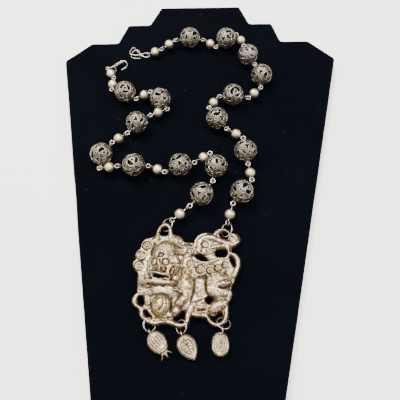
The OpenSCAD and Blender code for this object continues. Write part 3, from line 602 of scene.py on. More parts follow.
# Tubes: points, radius at the start and at the end, height of the crown
PENDANT_TUBES = (
    (((-21.6, -50.4), (-21.2, -46.6), (-19.4, -43), (-16.8, -41.6), (-14.4, -43), (-13.3, -46.6),
      (-13.4, -50)), 1.75, 1.75, 2.5),
    (((-17.4, -42.6), (-15.2, -43), (-14.4, -45), (-14.8, -47.4)), 0.7, 0.5, 2.9),
    (((13.6, -49.4), (14.8, -47), (17, -45.2), (19.4, -44.8), (21.6, -45.8), (23.2, -48), (23.8, -50.2)),
     1.5, 1.5, 2.4),
    (((1.9, -55.4), (2.6, -51.8), (5, -49), (8.6, -47.8), (12.4, -48.4)), 1.1, 1.0, 2.3),
    (((5, -57.2), (4.8, -53.6), (6.8, -50.8), (10, -49.8), (13.6, -50.4), (18, -52.4), (22.4, -54),
      (26.4, -54.4), (29, -52.6)), 2.0, 2.0, 3.3),
    (((10, -57.6), (14, -56.2), (18, -55.6), (21.4, -56), (22.9, -58.4), (22.8, -61.6), (20.6, -63.6),
      (16.6, -64), (12.8, -65.4), (9, -66.4), (4.6, -65.6), (1.6, -63)), 1.0, 0.8, 2.7),
    (((23.4, -60.4), (26.4, -61.4), (28.4, -64), (28.7, -67.6), (27.8, -71.2), (26, -74.4)), 1.7, 2.0, 3.0),
    (((-30.6, -86.6), (-32.6, -89), (-32.4, -92), (-30.4, -94), (-27.8, -94.8)), 1.8, 1.6, 2.6),
    (((-27.6, -95.6), (-28, -98.4), (-26, -101), (-22.8, -102.6), (-19, -103), (-15.6, -102)), 1.6, 1.5,
     2.5),
    (((-26.2, -100.4), (-22.6, -101.6), (-19.6, -100.8)), 0.9, 0.6, 2.9),
    (((-13, -101.6), (-9.6, -102.8), (-6, -104), (-3, -103.6), (-1, -101.8)), 1.5, 1.8, 2.7),
    (((2.8, -91.6), (0.6, -95), (-0.7, -98.6), (-1, -102)), 2.1, 1.7, 3.3),
    (((9.4, -97.8), (11.2, -101), (14, -103), (17.2, -103.2), (20.2, -101.2), (21.4, -97.4),
      (21.6, -92.4)), 1.5, 1.6, 2.5),
    (((-24.6, -73.6), (-22.6, -72.3), (-19.6, -72.6), (-16.6, -73.5), (-14, -74.7), (-11.8, -76.6)), 0.75,
     0.6, 5.3),
    (((-24, -75), (-22, -76.8), (-19, -77.3), (-15.8, -76.9), (-12.6, -77.4)), 0.6, 0.6, 4.8),
    (((-26, -78.6), (-23.4, -78.4), (-20, -78.9), (-16, -79), (-12, -79.2)), 1.4, 1.3, 4.6),
    (((-29.4, -80), (-28.2, -78.2), (-25.8, -77.7), (-23.6, -78.2)), 0.8, 0.7, 4.5),
    (((-13.6, -80.9), (-11.4, -82), (-9.2, -83.4), (-7, -83.4), (-5.6, -85)), 0.6, 0.5, 4.6),
    (((-9.4, -54.6), (-6.4, -56.2), (-3.4, -56.4)), 0.9, 0.7, 3.7),
    (((-8.8, -60), (-6.2, -60.9), (-3.6, -60.6)), 0.8, 0.6, 3.7),
    (((3.4, -58), (5.8, -60.2), (9.6, -60.6), (13.4, -59.4)), 0.9, 0.6, 2.9),
)
# Spirals: centre, radius, turn of the outer end, 1 for anticlockwise or -1, lift, depth
PENDANT_CURLS = (
    (-27.9, -55.3, 2.8, 200, -1, 0.5, 1.1), (-30.8, -61.9, 3, 170, -1, 0.5, 0.7),
    (-31.6, -68.6, 3.2, 140, -1, 0.4, 0.5), (-21.9, -50.9, 2.1, 90, -1, 0.4, 0.5),
    (-6.8, -51.9, 2.1, 150, 1, 0.5, 0.6), (-0.6, -59, 2.2, 60, 1, 0.6, 0.8),
    (0, -67.2, 2.6, 100, 1, 0.8, 0.75), (-2.7, -72.5, 3.1, 120, 1, 0.8, 0.65),
    (5.8, -70.5, 2.8, 150, 1, 0.8, 0.95), (11.8, -71.2, 2.4, 120, 1, 0.7, 1.0),
    (16.6, -69.5, 2.3, 120, 1, 0.8, 1.1), (20.8, -67.7, 2, 120, 1, 0.7, 0.85),
    (8.5, -54.5, 2.3, 250, -1, 0.5, 0.45), (25.4, -50.9, 2.2, 200, -1, 0.4, 0.5),
    (-14.4, -61.6, 1.9, 120, -1, 0.6, 0.22), (-9.3, -62.6, 1.8, 60, 1, 0.7, 0.35),
    (-28, -79.6, 1.7, 0, 1, 0.4, 0.5),
)
# Chased lines: points, depth, width
PENDANT_LINES = (
    (((-22.9, -53.6), (-24, -56.6), (-24.4, -59.6), (-24.2, -62.2)), 1.4, 0.55),
    (((-26.3, -65.4), (-26.1, -69), (-26.2, -72.6)), 0.9, 0.45),
    (((-25.4, -62.6), (-25.4, -68), (-25.2, -74)), 0.5, 0.35),
    (((-27.9, -71.6), (-27.4, -76), (-27.9, -79)), 0.6, 0.35),
    (((-13.2, -65.6), (-10.8, -66.3), (-7.4, -66)), 1.0, 0.8),
    (((-23.6, -70), (-22.6, -71.4), (-20.4, -71.6), (-18.4, -72.5), (-16.2, -72.4), (-15.2, -70.8),
      (-15.4, -69)), 1.0, 0.35),
    (((-23, -80), (-20.6, -80.9), (-18.4, -80.1), (-16.2, -80.9), (-14, -80.3), (-12, -81.8), (-9.4, -83),
      (-6.8, -82.9), (-5.4, -85), (-3.6, -86.7), (-2.6, -87)), 1.1, 0.42),
    (((-24.6, -82.6), (-22.8, -84.4), (-22, -87.2)), 0.7, 0.4), (((-22.9, -70), (-22.3, -70.8)), 1.0, 0.4),
    (((-8, -55), (-8.6, -58.6), (-7.6, -62)), 0.9, 0.45),
    (((-7.2, -68), (-6.9, -71), (-7.4, -75)), 0.5, 0.4),
    (((2.1, -74.6), (2.5, -78), (2.3, -83), (1.2, -88), (0.2, -90.6)), 1.7, 0.55),
    (((9.3, -74.8), (9.1, -79), (9.4, -83), (10.6, -86)), 1.7, 0.5),
    (((1.6, -90), (5, -89.8), (8.8, -88)), 0.8, 0.35), (((3.2, -75.4), (6, -74.4), (8.8, -75.2)), 0.8, 0.3),
    (((-7.4, -76.4), (-5.6, -77.6), (-6.6, -81)), 0.7, 0.35),
    (((-29.4, -81.5), (-26.4, -82.3), (-23.2, -81.4)), 1.0, 0.4),
    (((-25.4, -79.6), (-23.8, -80.6)), 0.7, 0.3),
    (((-23, -88), (-22.8, -92), (-21.6, -97)), 0.7, 0.35),
    (((13.6, -88.8), (16, -89.1), (19.2, -88.4)), 1.5, 0.42),
    (((18.4, -95.6), (20.6, -93.4), (22.6, -91)), 0.9, 0.35),
    (((0.2, -61.6), (1.8, -61.6), (3.4, -62.2)), 1.2, 0.4),
    (((17, -80.9), (19.4, -81.7), (22.2, -81.3)), 2.0, 0.5),
    (((22.6, -78), (23.6, -80), (23.4, -83)), 0.8, 0.35),
    (((10.8, -76.4), (14.6, -75.4), (19, -73.4), (22.8, -71)), 0.45, 0.3),
    (((10.8, -79.6), (14.6, -79), (17.4, -78.2), (20.4, -76.4), (23.4, -74.8)), 0.6, 0.35),
    (((10.6, -74.4), (15, -73.6), (19, -71.8)), 0.5, 0.3),
    (((10.8, -78), (15, -77.2), (18.6, -75.4)), 0.4, 0.28),
    (((25.4, -70.6), (25.6, -74), (24.4, -77.4)), 0.6, 0.3), (((26.8, -72), (26.2, -75.6)), 0.5, 0.28),
    (((4, -95.1), (7, -95), (9.8, -94.5)), 2.2, 0.55),
    (((3.4, -96.4), (6.4, -96.8), (9.4, -96.4)), 0.6, 0.3),
    (((3.2, -92), (6.2, -92.3), (9.2, -92.4)), 0.5, 0.28),
    (((20.4, -94.6), (20.2, -98), (18.6, -101)), 0.6, 0.3),
    (((-11, -88), (-10.6, -92), (-11.2, -97.6)), 1.1, 0.42),
    (((-8.4, -92.2), (-5.8, -92.8), (-4.6, -95.2)), 0.9, 0.38),
    (((-5, -85.2), (-6.6, -87.6), (-8.2, -90.4), (-9.2, -93)), 1.0, 0.42),
    (((-15.4, -88.2), (-15.5, -91), (-16.6, -93.8), (-19.6, -96.6)), 1.1, 0.42),
    (((-13.4, -89.6), (-13.2, -92.6), (-13.8, -95.6), (-12.6, -97.4)), 0.7, 0.32),
    (((-22, -96), (-18, -99.6), (-12, -99.8), (-9, -98.6)), 0.9, 0.4),
    (((-20.8, -98.8), (-15, -101), (-10.4, -100.6)), 0.6, 0.3),
    (((-22.4, -86.8), (-17, -85.6), (-12.4, -87.2)), 0.9, 0.4),
    (((13.4, -60.2), (10.4, -59.2), (8.4, -58)), 0.6, 0.3),
    (((5.6, -52.4), (8.8, -51.2), (12.6, -51.8), (17, -53.6), (21.6, -55)), 0.3, 0.3),
    (((12, -54.6), (16, -55), (19, -54.6)), 0.6, 0.3),
    (((24.2, -58.8), (24, -56.8)), 1.0, 0.5), (((24.6, -62), (24.2, -60.2)), 0.8, 0.3),
    (((-33, -65.2), (-30, -65), (-28.4, -64)), 0.6, 0.35),
    (((-31.4, -58), (-28.4, -58.6), (-27, -58.2)), 0.6, 0.35),
)
# Ovals with a chased ring: centre, half width and height, turn, lift, depth of the ring, height of its rim
OVALS = (
    (-22.6, -65.8, 1.4, 2.3, 0, 0.3, 0.8, 0.4), (-15.4, -66.2, 1.9, 1.9, 0, 0.6, 0.8, 0.3),
    (-11.1, -71.9, 1.05, 2.7, -15, -0.3, 1.3, 1.0), (-16.5, -70.7, 1.4, 1.3, 0, 0.7, 0.9, 0),
    (-21.9, -70.7, 0.8, 0.9, 0, 0.5, 0.8, 0), (-18.8, -61.4, 1.5, 1.3, 0, 0.7, 0.9, 0.2),
)
# Lumps of the nose and the beard: centre, half width and height, height, turn, softness and line of the foot
FACE_LUMPS = (
    (-19.5, -67, 1.7, 5, 6.5, 12, 0.3, 0), (-16.5, -70.7, 1.8, 1.6, 6.4, 0, 0.2, 0.35),
    (-21.9, -70.7, 1.2, 1.2, 6.1, 0, 0.2, 0.3), (-18.9, -70.9, 1.6, 1.3, 6.9, 0, 0.3, 0),
    (-10.5, -79.4, 2.2, 2, 5.4, 0, 0.2, 0.3), (-26.9, -79.8, 1.7, 1.3, 4.9, 0, 0.2, 0.2),
    (-23.6, -79.4, 1.2, 1.2, 5, 0, 0.2, 0.2),
)
TOES = ((12, -94.8), (13.9, -95.8), (15.9, -95.9), (17.7, -94.9))
# Rows of short lines: first and last place, number, length, turn, depth, width, bend over the row
COMBS = (
    ((3.6, -74.2), (8.8, -73.8), 6, 2, -92, 1.0, 0.3, 24),
    ((3.4, -78), (8.6, -77.6), 7, 2.4, -92, 0.4, 0.24, 20),
    ((3.4, -82.6), (8.8, -82), 7, 3, -92, 0.4, 0.24, 30),
    ((-6.4, -78.4), (-5, -83.6), 5, 2.4, 5, 0.3, 0.2, 0),
    ((-10, -96.4), (-6, -97.4), 4, 1.8, -84, 0.6, 0.28, 0),
    ((-23.8, -91), (-22.4, -94), 3, 2, -150, 0.5, 0.28, 0),
    ((-15.8, -97.4), (-12, -98.8), 4, 1.6, -60, 0.5, 0.25, 0),
    ((12, -82.4), (22, -83), 6, 2.6, -60, 0.3, 0.25, 20),
    ((11.4, -73.4), (21.4, -69.6), 9, 1.6, 30, 0.3, 0.22, 0),
    ((-31.2, -75), (-31, -84), 8, 3.6, 8, 0.4, 0.25, 0),
    ((-24.6, -83.4), (-9.6, -84.4), 15, 3, -88, 0.34, 0.22, 24),
    ((-20.4, -93.6), (-18, -95.4), 3, 2.2, 48, 0.4, 0.28, 30),
)
# The open mouth, its depth, the line at its corner and the tongue's edge
MOUTH = (
    (-22.9, -73.9), (-21.8, -73.1), (-19.6, -73.6), (-17.4, -74.3), (-15.7, -75), (-15.5, -75.8),
    (-17.2, -76.3), (-19.4, -76.4), (-21.4, -75.8), (-22.6, -74.9))
MOUTH_DEPTH = 4.2
MOUTH_CORNER = ((-15.8, -75.3), (-14, -75.7), (-12.4, -76.4))
TONGUE = ((-20.8, -75), (-19.2, -75.6), (-17.6, -75.5))
# Spots where the silver has a yellow cast, above zero, or a pink one: centre, radius, strength
PENDANT_CASTS = (
    (-17.5, -91, 6, 0.28), (-2.5, -80, 5, 0.26), (15, -75, 6, 0.32), (9, -51, 5, 0.12),
    (-15, -56, 5, 0.05), (11, -70, 4, 0.12), (20.5, -79, 3.4, -0.16), (14, -84, 5, -0.2),
    (-27, -79.6, 3.5, -0.26), (-10.4, -79.5, 3, -0.3), (-4, -90, 4.4, -0.16), (-7.6, -98, 3.4, -0.1),
    (-4, -104, 4, -0.26), (28, -52, 4, -0.22), (22, -97, 5, -0.16), (-30, -73, 5, -0.14),
    (-18, -71, 3, -0.18), (-20, -102, 4, 0.12), (17, -92, 4, 0.14))
# Where the picture's eye is over the middle plane, and how high the lips are
EYE = (18, -155.5, 261.5)
LIP_HEIGHT = 5
# The sheet's height between its lumps, and the least that its relief is cut down to
SHEET_HEIGHT = 1.5
LEAST_HEIGHT = 0.55


def as_seen(x, y, height):
    """Where the eye sees a place of that height on the middle plane."""
    return x + height * (x - EYE[0]) / EYE[2], y + height * (y - EYE[1]) / EYE[2]


def pendant_edge(x, y):
    """Distance to the pendant's edge, below zero in the metal."""
    d = signed_distance(spline(PENDANT_OUTLINE, 3, True), x, y)
    for hole in PENDANT_HOLES:
        d = np.maximum(d, -signed_distance(spline(hole, 3, True), x, y))
    return d


def pendant_front(x, y, sd):
    """Heights of the front. The tables give places as the eye sees them, so high ones are moved back."""
    ground = Relief(x, y, SHEET_HEIGHT)
    for cx, cy, rx, ry, h, turn in PENDANT_LUMPS:
        ground.dome(cx, cy, rx, ry, h, turn)
    r = Relief(*as_seen(x, y, blur(ground.h, 5)), SHEET_HEIGHT, (x[0], y[:, 0]))
    r.h += 0.5 * np.clip(-sd / 3, 0, 1)
    for cx, cy, rx, ry, h, turn in PENDANT_LUMPS:
        r.dome(cx, cy, rx, ry, h, turn, groove=0.1)
    for points, r0, r1, h in PENDANT_TUBES:
        r.cord(points, r0, h, r1)
    for cx, cy, rad, turn, sense, lift, depth in PENDANT_CURLS:
        r.curl(cx, cy, rad, turn, sense, lift, 0)
    for cx, cy, rx, ry, h, turn, soft, groove in FACE_LUMPS:
        r.dome(cx, cy, rx, ry, h, turn, soft=soft, groove=groove)
    for toe, (cx, cy) in enumerate(TOES):
        r.dome(cx, cy, 1.1, 1.5, 3.7, 12 * toe - 30, soft=0.15, groove=0.5)
    r.h = blur(r.h, 1)
    for cx, cy, rad, turn, sense, lift, depth in PENDANT_CURLS:
        r.curl(cx, cy, rad, turn, sense, 0, WEAR * depth, width=0.3 / WEAR)
    r.pebbles(-15.8, -57.4, 7, 5, 1.2, 0.95, 1)
    for oval in OVALS:
        r.ringed_oval(*oval)
    mouth = signed_distance(spline(MOUTH, 4, True), r.x, r.y)
    r.h -= MOUTH_DEPTH * np.clip(-mouth / 0.45, 0, 1) ** 0.7
    r.cut(MOUTH_CORNER, 1.2, 0.5)
    r.cord(TONGUE, 0.3, 3.4, groove=0)
    for points, depth, width in PENDANT_LINES:
        r.cut(points, WEAR * depth, width / WEAR)
    for comb in COMBS:
        r.comb(*comb)
    r.pebbles(-16, -83.8, 7.4, 2.4, 0.7, 0.22, 2)
    tool = np.random.default_rng(5).normal(size=x.shape)
    dents = np.random.default_rng(6).normal(size=x.shape)
    r.h += 0.7 * blur(tool, 2) + 0.1 * blur(dents, 7)
    return np.maximum(r.h, LEAST_HEIGHT)


def pendant_cast(x, y):
    """The silver's yellow or pink cast over the pendant."""
    cast = np.zeros(x.shape)
    for cx, cy, radius, strength in PENDANT_CASTS:
        cast += strength * np.exp(-((x - cx) ** 2 + (y - cy) ** 2) / radius ** 2)
    return cast


def pendant_back(x, y, sd):
    """The plain back half is beaten up less, and rests on the velvet."""
    return 1.3 + 1.5 * np.clip(-sd / 4, 0, 1) ** 0.6


def recess_shade(fine, broad, gain=1.0, floor=0.0):
    """Patina and painted shade: darkens what lies below its surroundings, at two sizes of window."""
    def shade(x, y, top, sd):
        near = blur(top, fine) - top
        wide = blur(top, broad) - top
        valley = blur(top, 2 * broad) - top
        # Painted shade in lines and hollows and over low ground, which also stands for patina
        s = (1.8 * np.clip(near - 0.005, 0, 0.3) + 0.5 * np.clip(wide - 0.03, 0, 0.9)
             + 0.22 * np.clip(valley - 0.15, 0, 0.8))
        return np.clip(floor + gain * np.minimum(s, 0.78) + 0.5 * np.clip(wide - 1.2, 0, 0.5), 0, 1)
    return shade


def pendant_shade(fine, broad):
    """Painted shade and patina in the recesses, and painted shade that turns the open mouth black."""
    recess = recess_shade(fine, broad)

    def shade(x, y, top, sd):
        mouth = signed_distance(spline(MOUTH, 4, True), *as_seen(x, y, LIP_HEIGHT))
        return np.maximum(recess(x, y, top, sd), np.clip(0.6 - mouth / 0.5, 0, 1))
    return shade


# The charms' sheet and outlines, each in its own plan with +Y towards its top

CHARM_SHEET = ((-6.6, -11.4), (6.6, 8.2))
POMEGRANATE = (
    (0, 7.2), (2.2, 6.6), (4.4, 4.6), (5.4, 1.6), (5.2, -1.6), (4, -4.6), (2.6, -6.6), (2.6, -7.6),
    (3.6, -9.6), (2.2, -8.9), (1.3, -8), (0.5, -9.6), (-0.2, -10.7), (-0.7, -9.3), (-1.3, -8), (-2.6, -9),
    (-4, -9.4), (-2.8, -7.6), (-2.8, -6.4), (-4.2, -4.4), (-5.3, -1.4), (-5.4, 1.8), (-4.2, 4.8), (-2, 6.7))
PEACH = (
    (0, 7), (2.4, 6.7), (4.4, 5), (5.5, 2.2), (5.5, -0.8), (4.6, -3.6), (3, -6), (1.2, -7.8), (-0.2, -8.6),
    (-1.6, -7.4), (-3.4, -5.4), (-4.9, -2.8), (-5.5, 0.4), (-5.1, 3.4), (-3.6, 5.8), (-1.8, 6.8))
MELON = (
    (0, 6.7), (2, 6.4), (3.6, 5.2), (4.6, 3), (5.1, 0.4), (5, -2.6), (3.8, -5.2), (2, -6.6), (0, -7),
    (-2, -6.6), (-3.9, -5.2), (-5, -2.6), (-5.1, 0.4), (-4.7, 3), (-3.6, 5.2), (-2, 6.4))
# Half thicknesses of a charm in front and behind, and its middle plane's height over the board
CHARM_FRONT, CHARM_BACK, CHARM_LEVEL = 2.75, 2.5, 2.65
# Half of the line round the peach's leaf, after its tip
PEACH_LEAF = ((2.1, 3.2), (3.4, 0.6), (2.6, -2.6), (0.6, -5.6))
# How far in from the edge each fruit is at its full height
SWELL = {"pomegranate": 4.6, "peach": 5, "melon": 4.6}


def charm_back(x, y, sd):
    """The plain swell of a charm's back."""
    return CHARM_BACK * swelling(sd, SWELL["melon"])


def charm_front(kind):
    """The relief of one fruit."""
    def front(x, y, sd):
        r = Relief(x, y, CHARM_FRONT * swelling(sd, SWELL[kind]) ** 0.8)
        if kind == "pomegranate":
            r.cut(((-3.2, -6.2), (0, -6.8), (3.2, -6.2)), 0.8, 0.35)
            r.cut(((-3.6, -4.6), (0, -5.2), (3.6, -4.6)), 0.4, 0.25)
            for k in range(-2, 3):
                r.cut(((1.5 * k - 0.5, 3.4), (1.7 * k - 0.2, 0.2), (1.4 * k, -3.4)), 0.42, 0.24)
            r.comb((-3.6, 2.6), (3.4, 2.9), 7, 1.5, 35, 0.34, 0.2)
            r.comb((-4, -0.4), (4, -0.2), 7, 1.4, -35, 0.34, 0.2)
            r.comb((-3.4, -3.4), (3, -3.2), 6, 1.2, 35, 0.3, 0.2)
            for tip in ((3, -9), (-0.2, -10), (-3.4, -9)):
                r.cut(((tip[0] * 0.3, -7.4), tip), 0.25, 0.2)
        elif kind == "peach":
            r.cut(((0, 4.6), (0.3, 1), (0.1, -3), (-0.2, -6.6)), 0.45, 0.28)
            for side in (-1, 1):
                r.cut([(0.2, 4.4)] + [(x * side, y) for x, y in PEACH_LEAF], 0.5, 0.3)
                for k in range(4):
                    vein = ((0.2, 2.8 - 1.9 * k), (1.5 * side, 3 - 1.9 * k), (2.7 * side, 2.4 - 1.9 * k))
                    r.cut(vein, 0.36, 0.22)
            r.dome(0.1, 2.4, 1, 1.8, 3, 0, soft=0.15, groove=0.35)
            r.comb((-4.4, 1.6), (-3.4, -3.2), 6, 1.1, -150, 0.3, 0.2)
            r.comb((4.4, 1.6), (3.6, -3.2), 6, 1.1, -30, 0.3, 0.2)
        else:
            r.cut(((-4.4, 2.6), (-2.2, 3.4), (0, 3.7), (2.2, 3.4), (4.4, 2.6)), 0.45, 0.26)
            r.cut(((-4.7, 1.4), (-2.2, 2.2), (0, 2.4), (2.2, 2.2), (4.7, 1.4)), 0.35, 0.22)
            r.dome(0, -0.6, 1, 2.4, 3.1, 0, soft=0.15, groove=0.4)
            for side in (-1, 1):
                r.cut(((1.9 * side, 1.8), (2.3 * side, -1), (1.6 * side, -4.4)), 0.45, 0.26)
                r.cut(((3.5 * side, 1.4), (3.8 * side, -1.4), (2.8 * side, -4.6)), 0.38, 0.24)
            r.cut(((-2.6, -4.8), (0, -4.2), (2.6, -4.8)), 0.35, 0.24)
            r.dome(0, 5, 0.6, 0.6, 2.0, 0, soft=0.1, groove=0.5)
        r.h += 0.3 * blur(np.random.default_rng(8).normal(size=x.shape), 3)
        return np.maximum(r.h, 0.15)
    return front


# Charms: fruit, outline, place of its middle, turn, and its loop's centre, half width and height, and heading
CHARMS = {
    "charm_pomegranate": (
        "pomegranate", POMEGRANATE, (-17.3, -113.7), 39.5, (-22.31, -107.81, 10.8), (1.45, 1.45), -74),
    "charm_peach": ("peach", PEACH, (-0.4, -115.6), 32.5, (-4.04, -108.57, 10.74), (1.45, 1.45), -74),
    "charm_melon": ("melon", MELON, (18.1, -113.9), 0, (19.34, -106.85, 13.17), (2.2, 2.05), 90),
}
CHARM_WIRE = 0.38

# The thin wire round the hook's shank: first and last point, turns, steps to a turn, half width, half height
SHANK_WRAP = ((-65, 91.2), (-60.1, 95.6), 7, 12, 0.95, 0.72)
# Height of the hook's wires over the board, and the ring at its end: centre, radius, height over the board
HOOK_LEVEL = 3.4
HOOK_RING = ((-68.93, 88.77), 1.45, 4)
# Radius of the wire wrapped round the shank, of the ring's and of the eye's
WRAP_WIRE, RING_WIRE, EYE_WIRE = 0.3, 0.4, 0.5
# The hook's long wire with its bend, and two short ones that it's doubled with: points and radius
HOOK_WIRES = (
    (((-67.9, 89.8), (-65.2, 91.4), (-63, 94), (-60.5, 95.9), (-58.2, 97.2), (-56, 96), (-54.6, 93.4),
      (-55.1, 90.9), (-56.8, 89.2), (-58.4, 87.9)), 0.5),
    (((-65, 90.6), (-62.6, 93.4), (-60.1, 95.3), (-57.8, 96.4)), 0.4),
    (((-64.6, 91.8), (-63.4, 89.6), (-62.6, 86.6)), 0.4),
)
# The eye's oval, its triangle and the second turn under that: points and height of the wire's middle
EYE_WIRES = (
    (((-37.7, 101.9), (-38.4, 103.5), (-40.6, 104.3), (-43, 103.6), (-44.6, 102.4), (-43, 101),
      (-40.6, 100), (-38.4, 100.4)), 12),
    (((-44.6, 102.6), (-46.6, 104.9), (-48.9, 107.8), (-51.1, 110.3), (-52.7, 107.8), (-53.4, 105.2),
      (-52.4, 103.1), (-49.5, 102.3), (-46.8, 102.4)), 12),
    (((-44.8, 102.4), (-45.6, 106), (-46.7, 109.2), (-49, 111), (-51.4, 109.6), (-53, 106.4),
      (-52.8, 104), (-50.8, 102.4), (-48, 101.9)), 8.7),
)
# The post between the eye's two turns: place, height of its foot, rise and number of its steps
EYE_POST = ((-44.9, 102.4), 8.7, 0.4, 9)


# Openwork balls

# Half width of the hole that a pin goes through, rounding of a pierced edge, and the painted shade and patina
# inside the ball
PIN_HOLE = 0.95
PIERCED_EDGE = 0.4
INNER_TARNISH_AND_SHADE = 0.7


def around(centre, radius, angle, ball):
    """Points at a distance and angle round a place on the unit ball; the radius is in millimetres of arc."""
    c = centre / np.linalg.norm(centre)
    u = np.cross(c, (0.31, 0.73, 0.61))
    u /= np.linalg.norm(u)
    rho, a = np.broadcast_arrays(np.atleast_1d(radius) / ball, np.radians(angle))
    rho, a = rho[:, None], a[:, None]
    return np.cos(rho) * c + np.sin(rho) * (np.cos(a) * u + np.sin(a) * np.cross(c, u))


def ball_openings(ball, seed):
    """The openings pierced in a ball: points on the unit ball, their half widths, and the rosettes' axes.

    Each of six rosettes has a round hole and three crescents, with lobed holes and dots in between.
    They are pierced by hand, so each one is a little off its place and size.
    """
    hand = np.random.default_rng(seed)
    axes = [np.array(v, float) for v in ((1, 0, 0), (-1, 0, 0), (0, 1, 0), (0, -1, 0), (0, 0, 1), (0, 0, -1))]
    corners = [np.array((i, j, k), float) for i in (-1, 1) for j in (-1, 1) for k in (-1, 1)]
    middles = [a + b for i, a in enumerate(axes) for b in axes[i + 1:] if abs(a @ b) < 0.1]
    t = np.linspace(0, 1, 15)
    places, widths = [], []
    for n, c in enumerate(axes):
        places.append(around(c, 0, 0, ball))
        widths.append([0.7])
        for k in range(3):
            turn, size = 120 * k + 25 * n + hand.uniform(-12, 12), hand.uniform(0.62, 1.2)
            places.append(around(c, 2.6 + 0.6 * t, turn + (64 + 36 * size) * (t - 0.5), ball))
            widths.append(1.06 * size * np.sin(np.pi * t ** 0.7) ** 0.8)
    for n, c in enumerate(corners):
        for k in range(3):
            reach = hand.uniform(1.0, 2.1)
            places.append(around(c, reach * t, 120 * k + 40 * n + hand.uniform(-20, 20), ball))
            widths.append(0.68 - 0.4 * t)
    for c in middles:
        places.append(around(c, 0, 0, ball))
        widths.append([hand.uniform(0.3, 0.58)])
    return np.vstack(places), np.concatenate(widths), np.array(axes)


def openwork_ball(settings, detail, turn, pin_places, seed):
    """One ball in millimetres round the origin: a thin wall, chased outside and pierced.

    turn is the ball's own turn, pin_places are the directions in which the pin leaves it, and
    seed sets the small differences from ball to ball.
    """
    outer, relief, wall = settings.radius / MM, settings.relief / MM, settings.wall / MM
    mid = outer - relief
    places, widths, axes = ball_openings(mid, seed)
    places, axes = places @ turn.T, axes @ turn.T
    places = np.vstack([places, pin_places])
    widths = np.concatenate([widths, [PIN_HOLE] * len(pin_places)])
    bm = bmesh.new()
    bmesh.ops.create_icosphere(bm, subdivisions=detail, radius=1.0)
    p = np.array([v.co for v in bm.verts])
    # e is the distance to the nearest opening's edge, and out points away from that opening
    arc = mid * np.arccos(np.clip(p @ places.T, -1, 1)) - widths
    near = np.argmin(arc, axis=1)
    e = arc[np.arange(len(p)), near]
    out = p - places[near]
    out -= (out * p).sum(1)[:, None] * p
    out /= np.maximum(np.linalg.norm(out, axis=1), 1e-6)[:, None]

    # r and phi are the distance and the angle round the nearest rosette's middle
    rose = np.argmax(p @ axes.T, axis=1)
    r = mid * np.arccos(np.clip((p * axes[rose]).sum(1), -1, 1))
    u = np.cross(axes[rose], axes[(rose + 2) % 6])
    phi = np.arctan2((np.cross(axes[rose], u) * p).sum(1), (u * p).sum(1))
    crown = swelling(-e, PIERCED_EDGE)
    pin_arc = mid * np.arccos(np.clip(p @ pin_places.T, -1, 1)).min(1)
    # Two lines round every opening, petals round the rosettes, and fans of short lines between them
    groove = 0.8 * np.exp(-((e - 0.66) / 0.15) ** 2) + 0.6 * np.exp(-((e - 1.2) / 0.13) ** 2)
    groove += 0.5 * np.exp(-((r - 1.35) / 0.4) ** 2) * (0.5 + 0.5 * np.cos(9 * phi))
    fan = 0.8 * (0.5 + 0.5 * np.cos(40 * phi + 3 * r))
    groove += fan * np.clip((r - 3.6) * 2, 0, 1) * np.clip((e - 0.5) * 3, 0, 1)
    groove = np.clip(groove, 0, 1) * crown
    lip = np.exp(-((e - 0.3) / 0.22) ** 2)
    wave = np.sin(0.9 * mid * p[:, 0] / 2 + 9 * turn[0, 0]) * np.sin(mid * p[:, 1] / 2.4 + 7 * turn[1, 1])
    height = relief * (0.75 * crown + 0.25 * lip) - 0.14 * groove + 0.1 * wave
    height += 0.35 * np.exp(-((pin_arc - 1.35) / 0.25) ** 2)
    # Patina in the grooves, painted shade where the wall turns down into an opening, and lips a little
    # lighter
    shade = np.clip(0.1 + 0.8 * groove + 0.6 * (1 - crown) - 0.1 * lip, 0, 1)

    layer = bm.verts.layers.float.new("tarnish")
    edge = math.sqrt(4 * math.pi / len(bm.faces)) * mid * 1.5
    outside = [f for f in bm.faces if sum(e[v.index] for v in f.verts) < -0.2 * edge]
    index = {v: v.index for v in bm.verts}
    bmesh.ops.delete(bm, geom=outside, context="FACES")
    twin = bmesh.ops.duplicate(bm, geom=bm.verts[:] + bm.edges[:] + bm.faces[:])
    inner = {v: w for v, w in twin["vert_map"].items() if v in index}
    for v, w in inner.items():
        i = index[v]
        if v.is_boundary:
            axis = Vector(p[i] - out[i] * np.clip(e[i], -edge, edge) / mid).normalized()
            v.co = w.co = axis * mid
        else:
            v.co = Vector(p[i]) * (mid + height[i])
            w.co = Vector(p[i]) * (mid - wall * crown[i])
        v[layer] = float(shade[i])
        # The inner wall is darkened with painted shade and patina
        w[layer] = INNER_TARNISH_AND_SHADE
    bmesh.ops.reverse_faces(bm, faces=[g for g in twin["geom"] if isinstance(g, bmesh.types.BMFace)])
    bmesh.ops.remove_doubles(bm, verts=[v for v in bm.verts if v.is_boundary], dist=SEAM)
    return bm


def pin_exits(side, centre, ball):
    """Directions from a ball's centre in which the strand's wire passes through its wall."""
    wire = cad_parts["strand_pins_" + side]
    p = np.array([tuple(wire.matrix_world @ v.co) for v in wire.data.vertices]) / MM - centre
    edges = np.array([tuple(e.vertices) for e in wire.data.edges])
    a, d = p[edges[:, 0]], p[edges[:, 1]] - p[edges[:, 0]]
    aa, ad, dd = (a * a).sum(1) - ball * ball, (a * d).sum(1), np.maximum((d * d).sum(1), 1e-9)
    root = np.sqrt(np.maximum(ad * ad - dd * aa, 0))
    crossings = ((-ad - root) / dd, (-ad + root) / dd)
    hits = [(ad * ad > dd * aa) & (t >= 0) & (t <= 1) for t in crossings]
    p = np.vstack([a[hit] + t[hit, None] * d[hit] for hit, t in zip(hits, crossings)])
    first = p @ p[0] > 0
    exits = np.array([p[first].mean(0), p[~first].mean(0)])
    return exits / np.linalg.norm(exits, axis=1)[:, None]


